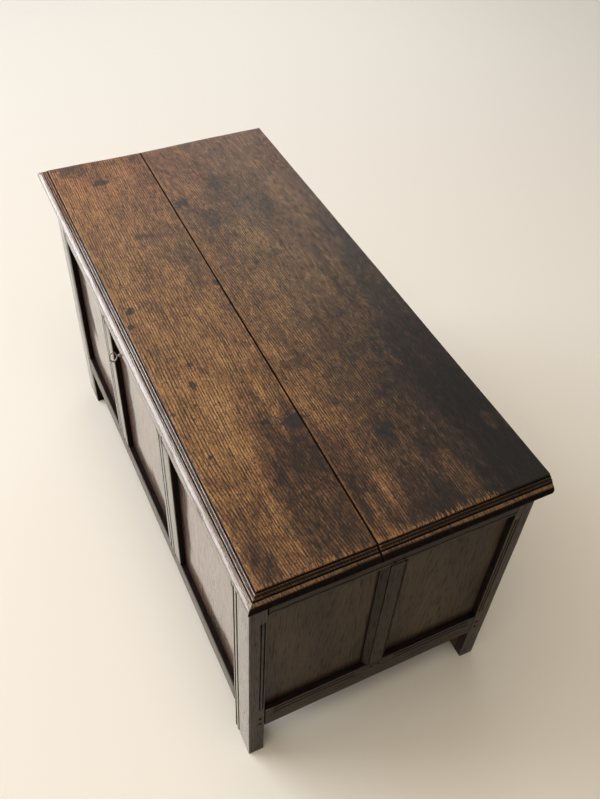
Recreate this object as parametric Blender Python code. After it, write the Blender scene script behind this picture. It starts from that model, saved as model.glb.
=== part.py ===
"""Joined oak coffer: pegged frame-and-panel carcase, hinged two-board lid, and chest lock with its key.

Metres, +Z up. The front faces -Y, and the origin is on the floor under the middle of the whole piece.
Each side of the carcase is laid out in its own coordinates: along the side, inward from its outer face, up.
"""
import math
from collections import namedtuple

import bmesh
import bpy
from mathutils import Matrix, Vector

# Carcase
CARCASE_LENGTH = 1.060
CARCASE_DEPTH = 0.507
CARCASE_HEIGHT = 0.607
FOOT_HEIGHT = 0.107

# Frame members
STILE_WIDTH = 0.068
FRAME_THICKNESS = 0.031
TOP_RAIL_HEIGHT = 0.098
FRONT_BOTTOM_RAIL_HEIGHT = 0.048
END_BOTTOM_RAIL_HEIGHT = 0.060
FRONT_MUNTIN_WIDTH = 0.066
LEFT_MUNTIN_CENTRE = -0.187
RIGHT_MUNTIN_CENTRE = 0.150
END_MUNTIN_WIDTH = 0.050
END_MUNTIN_CHAMFER = 0.010

# Panels, which float in grooves
PANEL_RECESS = 0.012
PANEL_THICKNESS = 0.009
PANEL_LAP = 0.008

# Mortise and tenon joints, in line with the panel grooves, and their pegs
MORTISE_WALL = 0.0065
TENON_SHOULDER = 0.004
TOP_SHOULDER = 0.022
FOOT_SHOULDER = 0.006
MUNTIN_TENON_LENGTH = 0.022
PEG_RADIUS = 0.0035
PEG_INSET = 0.009
PEG_PAST_TENON = 0.003
END_MUNTIN_PEG_SPACING = 0.016
PEG_SIDES = 6

# Scratch mouldings
STILE_GROOVE_OFFSETS = (0.008, 0.0195)
MUNTIN_GROOVE_OFFSETS = (0.015, 0.030)
END_STILE_GROOVE_OFFSETS = (0.0042, 0.0102)
END_RAIL_GROOVE_OFFSETS = (0.005, 0.0164)
TOP_RAIL_GROOVE_OFFSET = 0.009
WIDE_GROOVE = 0.005
NARROW_GROOVE = 0.0026
RAIL_GROOVE = 0.0036
GROOVE_STOP = 0.015

# Floor boards, whose ends are let into the front and back bottom rails
FLOOR_RISE = 0.006
FLOOR_THICKNESS = 0.014
FLOOR_LAP = 0.007
FLOOR_BOARD_COUNT = 4
FLOOR_BOARD_GAP = 0.0008

# Lid
LID_THICKNESS = 0.027
LID_FRONT_OVERHANG = 0.0185
LID_END_OVERHANG = 0.0395
LID_SETBACK = 0.017
FRONT_BOARD_LEFT_WIDTH = 0.2235
FRONT_BOARD_RIGHT_WIDTH = 0.2065
NOSE_HEIGHT = 0.0165
NOSE_DEPTH = 0.011
NOSE_UNDERCUT = 0.0038
NOSE_STEPS = 8
REED_COUNT = 2
REED_WIDTH = 0.0025
QUIRK_WIDTH = 0.0015
QUIRK_DEPTH = 0.0012
BATTEN_WIDTH = 0.045
BATTEN_THICKNESS = 0.018
BATTEN_END_CLEARANCE = 0.022
BATTEN_NAIL_SHARES = (0.25, 0.75)

# Hinges
HINGE_INSET = 0.200
LEAF_LENGTH = 0.064
LEAF_WIDTH = 0.016
LEAF_THICKNESS = 0.002
KNUCKLE_RADIUS = 0.004
KNUCKLE_CLEARANCE = 0.0005
PIN_RADIUS = 0.0018
HINGE_SPIKE_COUNT = 3

# Lock
KEY_X = -0.024
KEY_DROP = 0.043
LOCK_PLATE_WIDTH = 0.124
LOCK_PLATE_HEIGHT = 0.078
LOCK_PLATE_TOP_DROP = 0.004
LOCK_PLATE_THICKNESS = 0.0025
LOCK_PLATE_NAIL_INSET = 0.007
LOWER_NAIL_OFFSET = 0.016
CASE_WALL = 0.0015
CASE_TOP_DROP = 0.006
CASE_SWEEP_CLEARANCE = 0.003
BOLT_LENGTH = 0.066
BOLT_HEIGHT = 0.012
BOLT_DEPTH = 0.007
BOLT_STANDOFF = 0.008
BOLT_RISE = 0.012
BOLT_REACH = 0.024
BOLT_TRAVEL = 0.014
TALON_WIDTH = 0.017
GUIDE_WIDTH = 0.006
GUIDE_WALL = 0.003
STAPLE_THICKNESS = 0.005
STAPLE_WALL = 0.0033
STAPLE_GAP = 0.005
STAPLE_WINDOW_CLEARANCE = 0.0008
STAPLE_SLOT_CLEARANCE = 0.0024
STAPLE_PLATE_LENGTH = 0.056
STAPLE_PLATE_THICKNESS = 0.0025

# Key
KEY_REACH = 0.034
KEY_SHANK_RADIUS = 0.0032
KEY_TIP = 0.017
BOW_LENGTH = 0.017
BOW_HEIGHT = 0.025
BOW_WIRE_RADIUS = 0.0016
BIT_RADIUS = 0.016
BIT_THICKNESS = 0.003
BIT_MARGIN = 0.0008
KEYHOLE_CLEARANCE = 0.0008

# Wrought nails
NAIL_RADIUS = 0.0019
NAIL_HEAD_RADIUS = 0.0042
NAIL_HEAD_THICKNESS = 0.0012
NAIL_BITE = 0.014
NAIL_POINT = 0.5
NAIL_SIDES = 4

# Clearances
GAP = 0.0003
CUT_MARGIN = 0.002
ROUND_SIDES = 12
BOW_SIDES = 20
WIRE_SIDES = 6
SMOOTH_ANGLE = math.radians(35.0)

# Derived places
Y_FRONT = (KEY_REACH - CARCASE_DEPTH) / 2
Y_BACK = Y_FRONT + CARCASE_DEPTH
Y_MIDDLE = (Y_FRONT + Y_BACK) / 2
X_END = CARCASE_LENGTH / 2
TENON_BACK = PANEL_RECESS + PANEL_THICKNESS
FRONT_TENON_LENGTH = STILE_WIDTH - TENON_BACK - GAP - MORTISE_WALL
END_TENON_LENGTH = FRAME_THICKNESS - MORTISE_WALL
PEG_LENGTH = TENON_BACK + PEG_PAST_TENON
TOP_RAIL_LOW = CARCASE_HEIGHT - TOP_RAIL_HEIGHT
LID_LOW = CARCASE_HEIGHT + GAP
LID_TOP = LID_LOW + LID_THICKNESS
LID_FRONT = Y_FRONT - LID_FRONT_OVERHANG
LID_BACK = Y_BACK - LID_SETBACK
LID_HALF = X_END + LID_END_OVERHANG
HINGE_X = X_END - HINGE_INSET
HINGE_Y = LID_BACK + KNUCKLE_RADIUS + KNUCKLE_CLEARANCE
HINGE_Z = CARCASE_HEIGHT + GAP / 2
FLOOR_LOW = FOOT_HEIGHT + FLOOR_RISE
KEY_Z = CARCASE_HEIGHT - KEY_DROP
LOCK_FACE = Y_FRONT + FRAME_THICKNESS + GAP + LOCK_PLATE_THICKNESS
LOCK_PLATE_HIGH = CARCASE_HEIGHT - LOCK_PLATE_TOP_DROP
LOCK_PLATE_LOW = LOCK_PLATE_HIGH - LOCK_PLATE_HEIGHT
BOLT_LOW = KEY_Z + BOLT_RISE
BOLT_HIGH = BOLT_LOW + BOLT_HEIGHT
BOLT_FRONT = LOCK_FACE + BOLT_STANDOFF
BOLT_BACK = BOLT_FRONT + BOLT_DEPTH
STAPLE_LEFT = KEY_X + BOLT_REACH + STAPLE_GAP

X_AXIS = Vector((1.0, 0.0, 0.0))
Y_AXIS = Vector((0.0, 1.0, 0.0))
Z_AXIS = Vector((0.0, 0.0, 1.0))

Side = namedtuple("Side", "name origin along inward half tenon rail_height muntins muntin_width pegs")

FRONT = Side("front", Vector((0.0, Y_FRONT, 0.0)), X_AXIS, Y_AXIS, X_END - STILE_WIDTH,
             FRONT_TENON_LENGTH, FRONT_BOTTOM_RAIL_HEIGHT,
             {"left": LEFT_MUNTIN_CENTRE, "right": RIGHT_MUNTIN_CENTRE}, FRONT_MUNTIN_WIDTH, (0.0,))
BACK = FRONT._replace(name="back", origin=Vector((0.0, Y_BACK, 0.0)), inward=-Y_AXIS)
RIGHT = Side("right", Vector((X_END, Y_MIDDLE, 0.0)), Y_AXIS, -X_AXIS, CARCASE_DEPTH / 2 - FRAME_THICKNESS,
             END_TENON_LENGTH, END_BOTTOM_RAIL_HEIGHT, {"middle": 0.0}, END_MUNTIN_WIDTH,
             (-END_MUNTIN_PEG_SPACING / 2, END_MUNTIN_PEG_SPACING / 2))
LEFT = RIGHT._replace(name="left", origin=Vector((-X_END, Y_MIDDLE, 0.0)), inward=X_AXIS)
SIDES = (FRONT, BACK, LEFT, RIGHT)
PANEL_NAMES = {2: ("front", "back"), 3: ("left", "middle", "right")}


def clear_scene():
    """Removes every object that the scene starts with."""
    for thing in list(bpy.data.objects):
        bpy.data.objects.remove(thing, do_unlink=True)


def finish(name, colour, roughness, metallic=0.0):
    """Makes a plain Principled finish."""
    material = bpy.data.materials.new(name)
    material.use_nodes = True
    shader = material.node_tree.nodes["Principled BSDF"]
    shader.inputs["Base Color"].default_value = (*colour, 1.0)
    shader.inputs["Roughness"].default_value = roughness
    shader.inputs["Metallic"].default_value = metallic
    return material


def add_prism(shape, start, end):
    """Adds a closed prism between two outlines that have the same number of points."""
    first = [shape.verts.new(point) for point in start]
    last = [shape.verts.new(point) for point in end]
    count = len(first)
    faces = [shape.faces.new(first), shape.faces.new(last)]
    for index in range(count):
        after = (index + 1) % count
        faces.append(shape.faces.new((first[index], first[after], last[after], last[index])))
    bmesh.ops.recalc_face_normals(shape, faces=faces)


def add_box(shape, low, high):
    """Adds a box between two opposite corners."""
    low, high = Vector(low), Vector(high)
    place = Matrix.LocRotScale((low + high) / 2, None, high - low)
    bmesh.ops.create_cube(shape, size=1.0, matrix=place)


def add_turned(shape, base, axis, rings, sides):
    """Adds a closed turned solid from rings of (distance along the axis, radius)."""
    across = Y_AXIS if abs(axis.x) > abs(axis.y) else X_AXIS
    upward = axis.cross(across)
    faces, previous = [], None
    for distance, radius in rings:
        ring = []
        for index in range(sides):
            turn = 2 * math.pi * (index + 0.5) / sides
            ring.append(shape.verts.new(base + axis * distance
                                        + (across * math.cos(turn) + upward * math.sin(turn)) * radius))
        if previous is None:
            faces.append(shape.faces.new(ring))
        else:
            for index in range(sides):
                after = (index + 1) % sides
                faces.append(shape.faces.new((previous[index], previous[after], ring[after], ring[index])))
        previous = ring
    faces.append(shape.faces.new(previous))
    bmesh.ops.recalc_face_normals(shape, faces=faces)


def at(side, along, inward, up):
    """Gives the world place of a point in a side's own coordinates."""
    return side.origin + side.along * along + side.inward * inward + Z_AXIS * up


def add_side_box(shape, side, along, inward, up):
    """Adds a box given by three ranges in a side's own coordinates."""
    corners = [at(side, along[i], inward[i], up[i]) for i in (0, 1)]
    low = [min(corner[axis] for corner in corners) for axis in range(3)]
    high = [max(corner[axis] for corner in corners) for axis in range(3)]
    add_box(shape, low, high)


def make(name, shape, material):
    """Turns a shape into a named object with its material."""
    mesh = bpy.data.meshes.new(name)
    shape.to_mesh(mesh)
    shape.free()
    thing = bpy.data.objects.new(name, mesh)
    bpy.context.collection.objects.link(thing)
    thing.data.materials.append(material)
    return thing


def combine(thing, shape, operation):
    """Cuts a shape out of an object, or fuses it on, and keeps the result as the object's own mesh."""
    if not shape.verts:
        shape.free()
        return
    material = thing.data.materials[0]
    tool = make("tool", shape, material)
    modifier = thing.modifiers.new("joinery", "BOOLEAN")
    modifier.operation = operation
    modifier.object = tool
    graph = bpy.context.evaluated_depsgraph_get()
    worked = bpy.data.meshes.new_from_object(thing.evaluated_get(graph))
    thing.modifiers.clear()
    thing.data = worked
    thing.data.name = thing.name
    thing.data.materials.clear()
    thing.data.materials.append(material)
    bpy.data.objects.remove(tool, do_unlink=True)


def cut(thing, *shapes):
    """Cuts shapes out of an object, one after another."""
    for shape in shapes:
        combine(thing, shape, "DIFFERENCE")


def shade_round(thing):
    """Shades round surfaces smooth and keeps arrises crisp."""
    thing.data.shade_smooth()
    thing.data.set_sharp_from_angle(angle=SMOOTH_ANGLE)


def rail_span(side, level):
    """Gives the height range of a side's top or bottom rail."""
    if level == "top":
        return TOP_RAIL_LOW, CARCASE_HEIGHT
    return FOOT_HEIGHT, FOOT_HEIGHT + side.rail_height


def tenon_span(side, level):
    """Gives the height range of a rail's tenons."""
    low, high = rail_span(side, level)
    if level == "top":
        return low + PANEL_LAP + TENON_SHOULDER, high - TOP_SHOULDER
    return low + FOOT_SHOULDER, high - PANEL_LAP - TENON_SHOULDER


def opening_span(side):
    """Gives the height range between a side's rails."""
    return FOOT_HEIGHT + side.rail_height, TOP_RAIL_LOW


def rail_peg_heights(side, level):
    """Gives the heights of the two pegs in each rail tenon."""
    low, high = tenon_span(side, level)
    quarter = (high - low) / 4
    return low + quarter, high - quarter


def muntin_peg_height(level, side):
    """Gives the height of the pegs in a muntin's tenon."""
    low, high = opening_span(side)
    return high + PEG_INSET if level == "top" else low - PEG_INSET


def muntin_tenon_half(side):
    """Gives half the width of a muntin's tenon."""
    return side.muntin_width / 2 - PANEL_LAP - TENON_SHOULDER


def rail_pegs(side, level, signs=(-1, 1)):
    """Lists the (along, up) places of the pegs through a rail's tenons."""
    return [(sign * (side.half + PEG_INSET), up) for sign in signs for up in rail_peg_heights(side, level)]


def muntin_pegs(side, centre, levels=("top", "bottom")):
    """Lists the (along, up) places of the pegs through a muntin's tenons."""
    return [(centre + offset, muntin_peg_height(level, side)) for level in levels for offset in side.pegs]


def pegs(side, places, clearance=0.0):
    """Makes the pegs at some places of a side, or with a clearance the holes that they are driven into."""
    shape = bmesh.new()
    start = -CUT_MARGIN if clearance else 0.0
    rings = ((start, PEG_RADIUS + clearance), (PEG_LENGTH + clearance, PEG_RADIUS + clearance))
    for along, up in places:
        add_turned(shape, at(side, along, 0.0, up), side.inward, rings, PEG_SIDES)
    return shape


def add_groove(shape, side, start, end, width):
    """Adds a V cutter for a scratched groove between two (along, up) points of a side's face."""
    start, end = Vector(start), Vector(end)
    run = (end - start).normalized()
    across = Vector((-run.y, run.x)) * width / 2
    outlines = []
    for point in (start, end):
        bottom = at(side, point.x, width / 2, point.y)
        lips = [point + across * 2 * sign for sign in (1, -1)]
        outlines.append([bottom] + [at(side, lip.x, -width / 2, lip.y) for lip in lips])
    add_prism(shape, *outlines)


def bay_edges(side):
    """Lists the (left, right) edges of a side's panel openings."""
    edges = [-side.half]
    for centre in side.muntins.values():
        edges += [centre - side.muntin_width / 2, centre + side.muntin_width / 2]
    edges.append(side.half)
    return list(zip(edges[0::2], edges[1::2]))


def post_cuts(side, sign):
    """Makes the panel groove, mortises and peg holes of the post at one end of a side."""
    inner = sign * (side.half - CUT_MARGIN)
    low, high = opening_span(side)
    plane = (PANEL_RECESS - GAP, TENON_BACK + GAP)
    groove = bmesh.new()
    reach = sign * (side.half + PANEL_LAP + GAP)
    add_side_box(groove, side, (inner, reach), plane, (low - PANEL_LAP - GAP, high + PANEL_LAP + GAP))
    mortises = bmesh.new()
    reach = sign * (side.half + side.tenon + GAP)
    for level in ("top", "bottom"):
        bottom, top = tenon_span(side, level)
        add_side_box(mortises, side, (inner, reach), plane, (bottom - GAP, top + GAP))
    places = [place for level in ("top", "bottom") for place in rail_pegs(side, level, (sign,))]
    return groove, mortises, pegs(side, places, GAP)


def post_mouldings(face, end, sign_along, sign_end):
    """Makes the scratch mouldings on a front post: full height on its face, stopped on its end."""
    shape = bmesh.new()
    for offset in STILE_GROOVE_OFFSETS:
        along = sign_along * (face.half + offset)
        add_groove(shape, face, (along, -CUT_MARGIN), (along, CARCASE_HEIGHT + CUT_MARGIN), WIDE_GROOVE)
    return shape, end_post_mouldings(end, sign_end)


def end_post_mouldings(end, sign):
    """Makes the stopped scratch moulding on the end face of a post."""
    shape = bmesh.new()
    low, high = opening_span(end)
    for offset in END_STILE_GROOVE_OFFSETS:
        along = sign * (end.half + offset)
        add_groove(shape, end, (along, low + GROOVE_STOP), (along, high - GROOVE_STOP), NARROW_GROOVE)
    return shape


def build_stiles(oak):
    """Builds the four corner posts, whose lower ends are the feet."""
    for face, sign_end in ((FRONT, -1), (BACK, 1)):
        for end, sign_along in ((LEFT, -1), (RIGHT, 1)):
            shape = bmesh.new()
            reach = (sign_along * face.half, sign_along * (face.half + STILE_WIDTH))
            add_side_box(shape, face, reach, (0.0, FRAME_THICKNESS), (0.0, CARCASE_HEIGHT))
            stile = make(f"stile_{face.name}_{end.name}", shape, oak)
            if face is FRONT:
                cut(stile, *post_mouldings(face, end, sign_along, sign_end))
            else:
                cut(stile, end_post_mouldings(end, sign_end))
            cut(stile, *post_cuts(face, sign_along), *post_cuts(end, sign_end))


def rail_mouldings(side, level):
    """Makes the scratch moulding along an end rail, stopped beside the muntin on the bottom rail."""
    shape = bmesh.new()
    low, high = opening_span(side)
    if level == "top":
        up = high + TOP_RAIL_GROOVE_OFFSET
        add_groove(shape, side, (-side.half - CUT_MARGIN, up), (side.half + CUT_MARGIN, up), NARROW_GROOVE)
        return shape
    for left, right in bay_edges(side):
        for offset in END_RAIL_GROOVE_OFFSETS:
            up = low - offset
            add_groove(shape, side, (left + GROOVE_STOP, up), (right - GROOVE_STOP, up), RAIL_GROOVE)
    return shape


def build_rail(side, level, oak):
    """Builds one rail with its pegged tenons, panel groove, muntin mortises and their peg holes."""
    low, high = rail_span(side, level)
    shoulder = side.half - GAP
    shape = bmesh.new()
    add_side_box(shape, side, (-shoulder, shoulder), (0.0, FRAME_THICKNESS), (low, high))
    rail = make(f"{side.name}_{level}_rail", shape, oak)
    tenons = bmesh.new()
    reach = side.half + side.tenon
    add_side_box(tenons, side, (-reach, reach), (PANEL_RECESS, TENON_BACK), tenon_span(side, level))
    combine(rail, tenons, "UNION")
    combine(rail, pegs(side, rail_pegs(side, level)), "UNION")
    plane = (PANEL_RECESS - GAP, TENON_BACK + GAP)
    inner = low if level == "top" else high
    inside = 1 if level == "top" else -1
    groove, mortises = bmesh.new(), bmesh.new()
    depths = sorted((inner - inside * CUT_MARGIN, inner + inside * (PANEL_LAP + GAP)))
    add_side_box(groove, side, (-shoulder - CUT_MARGIN, shoulder + CUT_MARGIN), plane, depths)
    depths = sorted((inner - inside * CUT_MARGIN, inner + inside * (MUNTIN_TENON_LENGTH + GAP)))
    for centre in side.muntins.values():
        reach = muntin_tenon_half(side) + GAP
        add_side_box(mortises, side, (centre - reach, centre + reach), plane, depths)
    if side in (LEFT, RIGHT):
        cut(rail, rail_mouldings(side, level))
    cut(rail, groove, mortises)
    for centre in side.muntins.values():
        cut(rail, pegs(side, muntin_pegs(side, centre, (level,)), GAP))


def build_muntin(side, name, centre, oak):
    """Builds one muntin, chamfered on the ends of the carcase and scratch-moulded on its front."""
    low, high = opening_span(side)
    half = side.muntin_width / 2
    shape = bmesh.new()
    outline = [(-half, 0.0), (half, 0.0), (half, FRAME_THICKNESS), (-half, FRAME_THICKNESS)]
    if side in (LEFT, RIGHT):
        outline[0:2] = [(-half, END_MUNTIN_CHAMFER), (-half + END_MUNTIN_CHAMFER, 0.0),
                        (half - END_MUNTIN_CHAMFER, 0.0), (half, END_MUNTIN_CHAMFER)]
    ends = [[at(side, centre + along, inward, up) for along, inward in outline]
            for up in (low + GAP, high - GAP)]
    add_prism(shape, *ends)
    muntin = make(name, shape, oak)
    tenons = bmesh.new()
    reach = muntin_tenon_half(side)
    add_side_box(tenons, side, (centre - reach, centre + reach), (PANEL_RECESS, TENON_BACK),
                 (low - MUNTIN_TENON_LENGTH, high + MUNTIN_TENON_LENGTH))
    combine(muntin, tenons, "UNION")
    combine(muntin, pegs(side, muntin_pegs(side, centre)), "UNION")
    grooves, mouldings = bmesh.new(), bmesh.new()
    plane = (PANEL_RECESS - GAP, TENON_BACK + GAP)
    for sign in (-1, 1):
        depths = (centre + sign * (half + CUT_MARGIN), centre + sign * (half - PANEL_LAP - GAP))
        add_side_box(grooves, side, depths, plane, (low, high))
    if side is FRONT:
        for offset in MUNTIN_GROOVE_OFFSETS:
            along = centre - half + offset
            add_groove(mouldings, side, (along, low), (along, high), WIDE_GROOVE)
    cut(muntin, mouldings, grooves)


def build_panels(side, oak):
    """Builds a side's panels, which float in the grooves around them."""
    low, high = opening_span(side)
    bays = bay_edges(side)
    for name, (left, right) in zip(PANEL_NAMES[len(bays)], bays):
        shape = bmesh.new()
        add_side_box(shape, side, (left - PANEL_LAP, right + PANEL_LAP), (PANEL_RECESS, TENON_BACK),
                     (low - PANEL_LAP, high + PANEL_LAP))
        make(f"{side.name}_panel_{name}", shape, oak)


def add_spike(shape, base, direction, length, clearance=0.0):
    """Adds a tapered square spike, or with a clearance the hole that it is driven into."""
    start = -CUT_MARGIN
    tip = NAIL_RADIUS + clearance if clearance else NAIL_RADIUS * NAIL_POINT
    add_turned(shape, base, direction, ((start, NAIL_RADIUS + clearance), (length + clearance, tip)), NAIL_SIDES)


def make_nail(name, base, direction, length, iron):
    """Builds a wrought nail whose head stands on a surface at the base point."""
    shape = bmesh.new()
    head = -NAIL_HEAD_THICKNESS - GAP
    rings = ((head, NAIL_HEAD_RADIUS), (-GAP, NAIL_HEAD_RADIUS), (-GAP, NAIL_RADIUS),
             (length, NAIL_RADIUS * NAIL_POINT))
    add_turned(shape, base, direction, rings, NAIL_SIDES)
    make(name, shape, iron)


def spikes(places, direction, length, clearance=0.0):
    """Makes a row of spikes, or with a clearance their holes."""
    shape = bmesh.new()
    for place in places:
        add_spike(shape, place, direction, length, clearance)
    return shape


def build_floor(oak):
    """Builds the floor boards, let into the front and back rails and notched round the corner posts."""
    half = X_END - FRAME_THICKNESS - GAP
    pitch = (2 * half + FLOOR_BOARD_GAP) / FLOOR_BOARD_COUNT
    for side in (FRONT, BACK):
        groove = bmesh.new()
        add_side_box(groove, side, (-side.half - CUT_MARGIN, side.half + CUT_MARGIN),
                     (FRAME_THICKNESS - FLOOR_LAP - GAP, FRAME_THICKNESS + CUT_MARGIN),
                     (FLOOR_LOW - GAP, FLOOR_LOW + FLOOR_THICKNESS + GAP))
        cut(bpy.data.objects[f"{side.name}_bottom_rail"], groove)
    for index in range(FLOOR_BOARD_COUNT):
        left = -half + index * pitch
        shape = bmesh.new()
        add_box(shape, (left, Y_FRONT + FRAME_THICKNESS - FLOOR_LAP, FLOOR_LOW),
                (left + pitch - FLOOR_BOARD_GAP, Y_BACK - FRAME_THICKNESS + FLOOR_LAP,
                 FLOOR_LOW + FLOOR_THICKNESS))
        board = make(f"floor_board_{index + 1}", shape, oak)
        notches = bmesh.new()
        for side in (FRONT, BACK):
            for sign in (-1, 1):
                add_side_box(notches, side, (sign * (side.half - GAP), sign * X_END),
                             (0.0, FRAME_THICKNESS + GAP),
                             (FLOOR_LOW - CUT_MARGIN, FLOOR_LOW + FLOOR_THICKNESS + CUT_MARGIN))
        cut(board, notches)


def edge_profile():
    """Gives the lid's moulded edge as (inset from the nose, height above the underside) points."""
    points = []
    for step in range(NOSE_STEPS + 1):
        turn = math.pi * (step / NOSE_STEPS - 0.5)
        reach = NOSE_UNDERCUT if turn < 0 else NOSE_DEPTH
        points.append((reach * (1 - math.cos(turn)), NOSE_HEIGHT / 2 * (1 + math.sin(turn))))
    inset, height = points[-1]
    rise = (LID_THICKNESS - NOSE_HEIGHT) / (REED_COUNT + 1)
    for index in range(REED_COUNT + 1):
        points.append((inset + QUIRK_WIDTH / 2, height - QUIRK_DEPTH))
        inset, height = inset + QUIRK_WIDTH, height + rise
        points.append((inset, height))
        if index < REED_COUNT:
            inset += REED_WIDTH
            points.append((inset, height))
    return points


def joint_y(x):
    """Gives the slanting line where the lid's two boards meet."""
    share = (x + LID_HALF) / (2 * LID_HALF)
    return LID_FRONT + FRONT_BOARD_LEFT_WIDTH + share * (FRONT_BOARD_RIGHT_WIDTH - FRONT_BOARD_LEFT_WIDTH)


def build_lid_board(name, front, back, sawn, oak):
    """Builds one lid board between two edge lines, each a function of (x, inset).

    The board's four edges are counted from the front one; those in sawn are plain faces and the rest moulded.
    """
    shape = bmesh.new()
    rings = []
    for inset, height in edge_profile():
        half = LID_HALF - inset
        corners = ((-half, front(-half, inset)), (half, front(half, inset)),
                   (half, back(half)), (-half, back(-half)))
        rings.append([shape.verts.new((x, y, LID_LOW + height)) for x, y in corners])
    faces = [shape.faces.new(rings[0]), shape.faces.new(rings[-1])]
    for edge in range(4):
        after = (edge + 1) % 4
        if edge in sawn:
            climb = [ring[edge] for ring in rings]
            descent = [ring[after] for ring in reversed(rings)]
            faces.append(shape.faces.new(climb + descent))
            continue
        for lower, upper in zip(rings, rings[1:]):
            faces.append(shape.faces.new((lower[edge], lower[after], upper[after], upper[edge])))
    bmesh.ops.recalc_face_normals(shape, faces=faces)
    return make(name, shape, oak)


def build_lid(oak, iron):
    """Builds the two lid boards and the battens that hold them together."""
    front_board = build_lid_board("lid_front_board", lambda x, inset: LID_FRONT + inset,
                                  lambda x: joint_y(x) - GAP / 2, (2,), oak)
    back_board = build_lid_board("lid_back_board", lambda x, inset: joint_y(x) + GAP / 2,
                                 lambda x: LID_BACK, (0, 2), oak)
    front = Y_FRONT + FRAME_THICKNESS + BATTEN_END_CLEARANCE
    back = Y_BACK - FRAME_THICKNESS - BATTEN_END_CLEARANCE
    outer = X_END - FRAME_THICKNESS - BATTEN_END_CLEARANCE
    top = LID_LOW - GAP
    for name, sign in (("left", -1), ("right", 1)):
        shape = bmesh.new()
        reach = sorted((sign * outer, sign * (outer - BATTEN_WIDTH)))
        add_box(shape, (reach[0], front, top - BATTEN_THICKNESS), (reach[1], back, top))
        batten = make(f"lid_batten_{name}", shape, oak)
        middle = sum(reach) / 2
        spans = ((front_board, front, joint_y(middle)), (back_board, joint_y(middle), back))
        for board_index, (board, start, end) in enumerate(spans):
            places = [Vector((middle, start + (end - start) * share, top - BATTEN_THICKNESS))
                      for share in BATTEN_NAIL_SHARES]
            length = BATTEN_THICKNESS + GAP + NAIL_BITE
            cut(batten, spikes(places, Z_AXIS, length, GAP))
            cut(board, spikes(places, Z_AXIS, length, GAP))
            for nail_index, place in enumerate(places):
                number = 2 * board_index + nail_index + 1
                make_nail(f"batten_nail_{name}_{number}", place, Z_AXIS, length, iron)


def knuckle_spans():
    """Lists the (start, end, is_lid) spans of the hinge knuckles along the hinge."""
    third = LEAF_LENGTH / 3
    edges = [-LEAF_LENGTH / 2 + index * third for index in range(4)]
    return [(edges[index] + GAP / 2, edges[index + 1] - GAP / 2, index == 1) for index in range(3)]


def hinge_spikes(x, is_lid, clearance=0.0):
    """Makes the spikes on the back of a hinge leaf, or with a clearance their holes."""
    spacing = LEAF_LENGTH / HINGE_SPIKE_COUNT
    seat = LID_LOW + LEAF_THICKNESS if is_lid else CARCASE_HEIGHT - LEAF_THICKNESS
    middle = HINGE_Y - (LEAF_WIDTH + KNUCKLE_RADIUS) / 2
    places = [Vector((x + spacing * (index - (HINGE_SPIKE_COUNT - 1) / 2), middle, seat))
              for index in range(HINGE_SPIKE_COUNT)]
    return spikes(places, Z_AXIS if is_lid else -Z_AXIS, NAIL_BITE, clearance)


def build_leaf(name, x, is_lid, iron):
    """Builds one spiked hinge leaf with its knuckles, bored for the pin."""
    if is_lid:
        low, high = LID_LOW, LID_LOW + LEAF_THICKNESS
    else:
        low, high = CARCASE_HEIGHT - LEAF_THICKNESS, CARCASE_HEIGHT
    plate = bmesh.new()
    root = HINGE_Y - KNUCKLE_RADIUS - KNUCKLE_CLEARANCE
    add_box(plate, (x - LEAF_LENGTH / 2, HINGE_Y - LEAF_WIDTH, low), (x + LEAF_LENGTH / 2, root, high))
    leaf = make(name, plate, iron)
    for start, end, lid_knuckle in knuckle_spans():
        if lid_knuckle != is_lid:
            continue
        tab, knuckle = bmesh.new(), bmesh.new()
        add_box(tab, (x + start, root - CUT_MARGIN, low), (x + end, HINGE_Y, high))
        centre = Vector((x + start, HINGE_Y, HINGE_Z))
        rings = ((0.0, KNUCKLE_RADIUS), (end - start, KNUCKLE_RADIUS))
        add_turned(knuckle, centre, X_AXIS, rings, ROUND_SIDES)
        combine(leaf, tab, "UNION")
        combine(leaf, knuckle, "UNION")
    bore = bmesh.new()
    reach = LEAF_LENGTH / 2 + CUT_MARGIN
    rings = ((-reach, PIN_RADIUS + GAP), (reach, PIN_RADIUS + GAP))
    add_turned(bore, Vector((x, HINGE_Y, HINGE_Z)), X_AXIS, rings, ROUND_SIDES)
    cut(leaf, bore)
    combine(leaf, hinge_spikes(x, is_lid), "UNION")
    shade_round(leaf)


def hinge_seat(x, is_lid):
    """Makes the shallow seats that a hinge is let into, in the rail or in the lid."""
    seat, trough = bmesh.new(), bmesh.new()
    sides = (x - LEAF_LENGTH / 2 - GAP, x + LEAF_LENGTH / 2 + GAP)
    front, back = HINGE_Y - LEAF_WIDTH - GAP, HINGE_Y
    reach = KNUCKLE_RADIUS + KNUCKLE_CLEARANCE
    if is_lid:
        add_box(seat, (sides[0], front, LID_LOW - CUT_MARGIN),
                (sides[1], back, LID_LOW + LEAF_THICKNESS + GAP))
        return (seat,)
    add_box(seat, (sides[0], front, CARCASE_HEIGHT - LEAF_THICKNESS - GAP), (sides[1], back, LID_LOW))
    add_box(trough, (sides[0], HINGE_Y - reach, HINGE_Z - reach), (sides[1], HINGE_Y + reach, LID_LOW + GAP))
    return seat, trough


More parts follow.
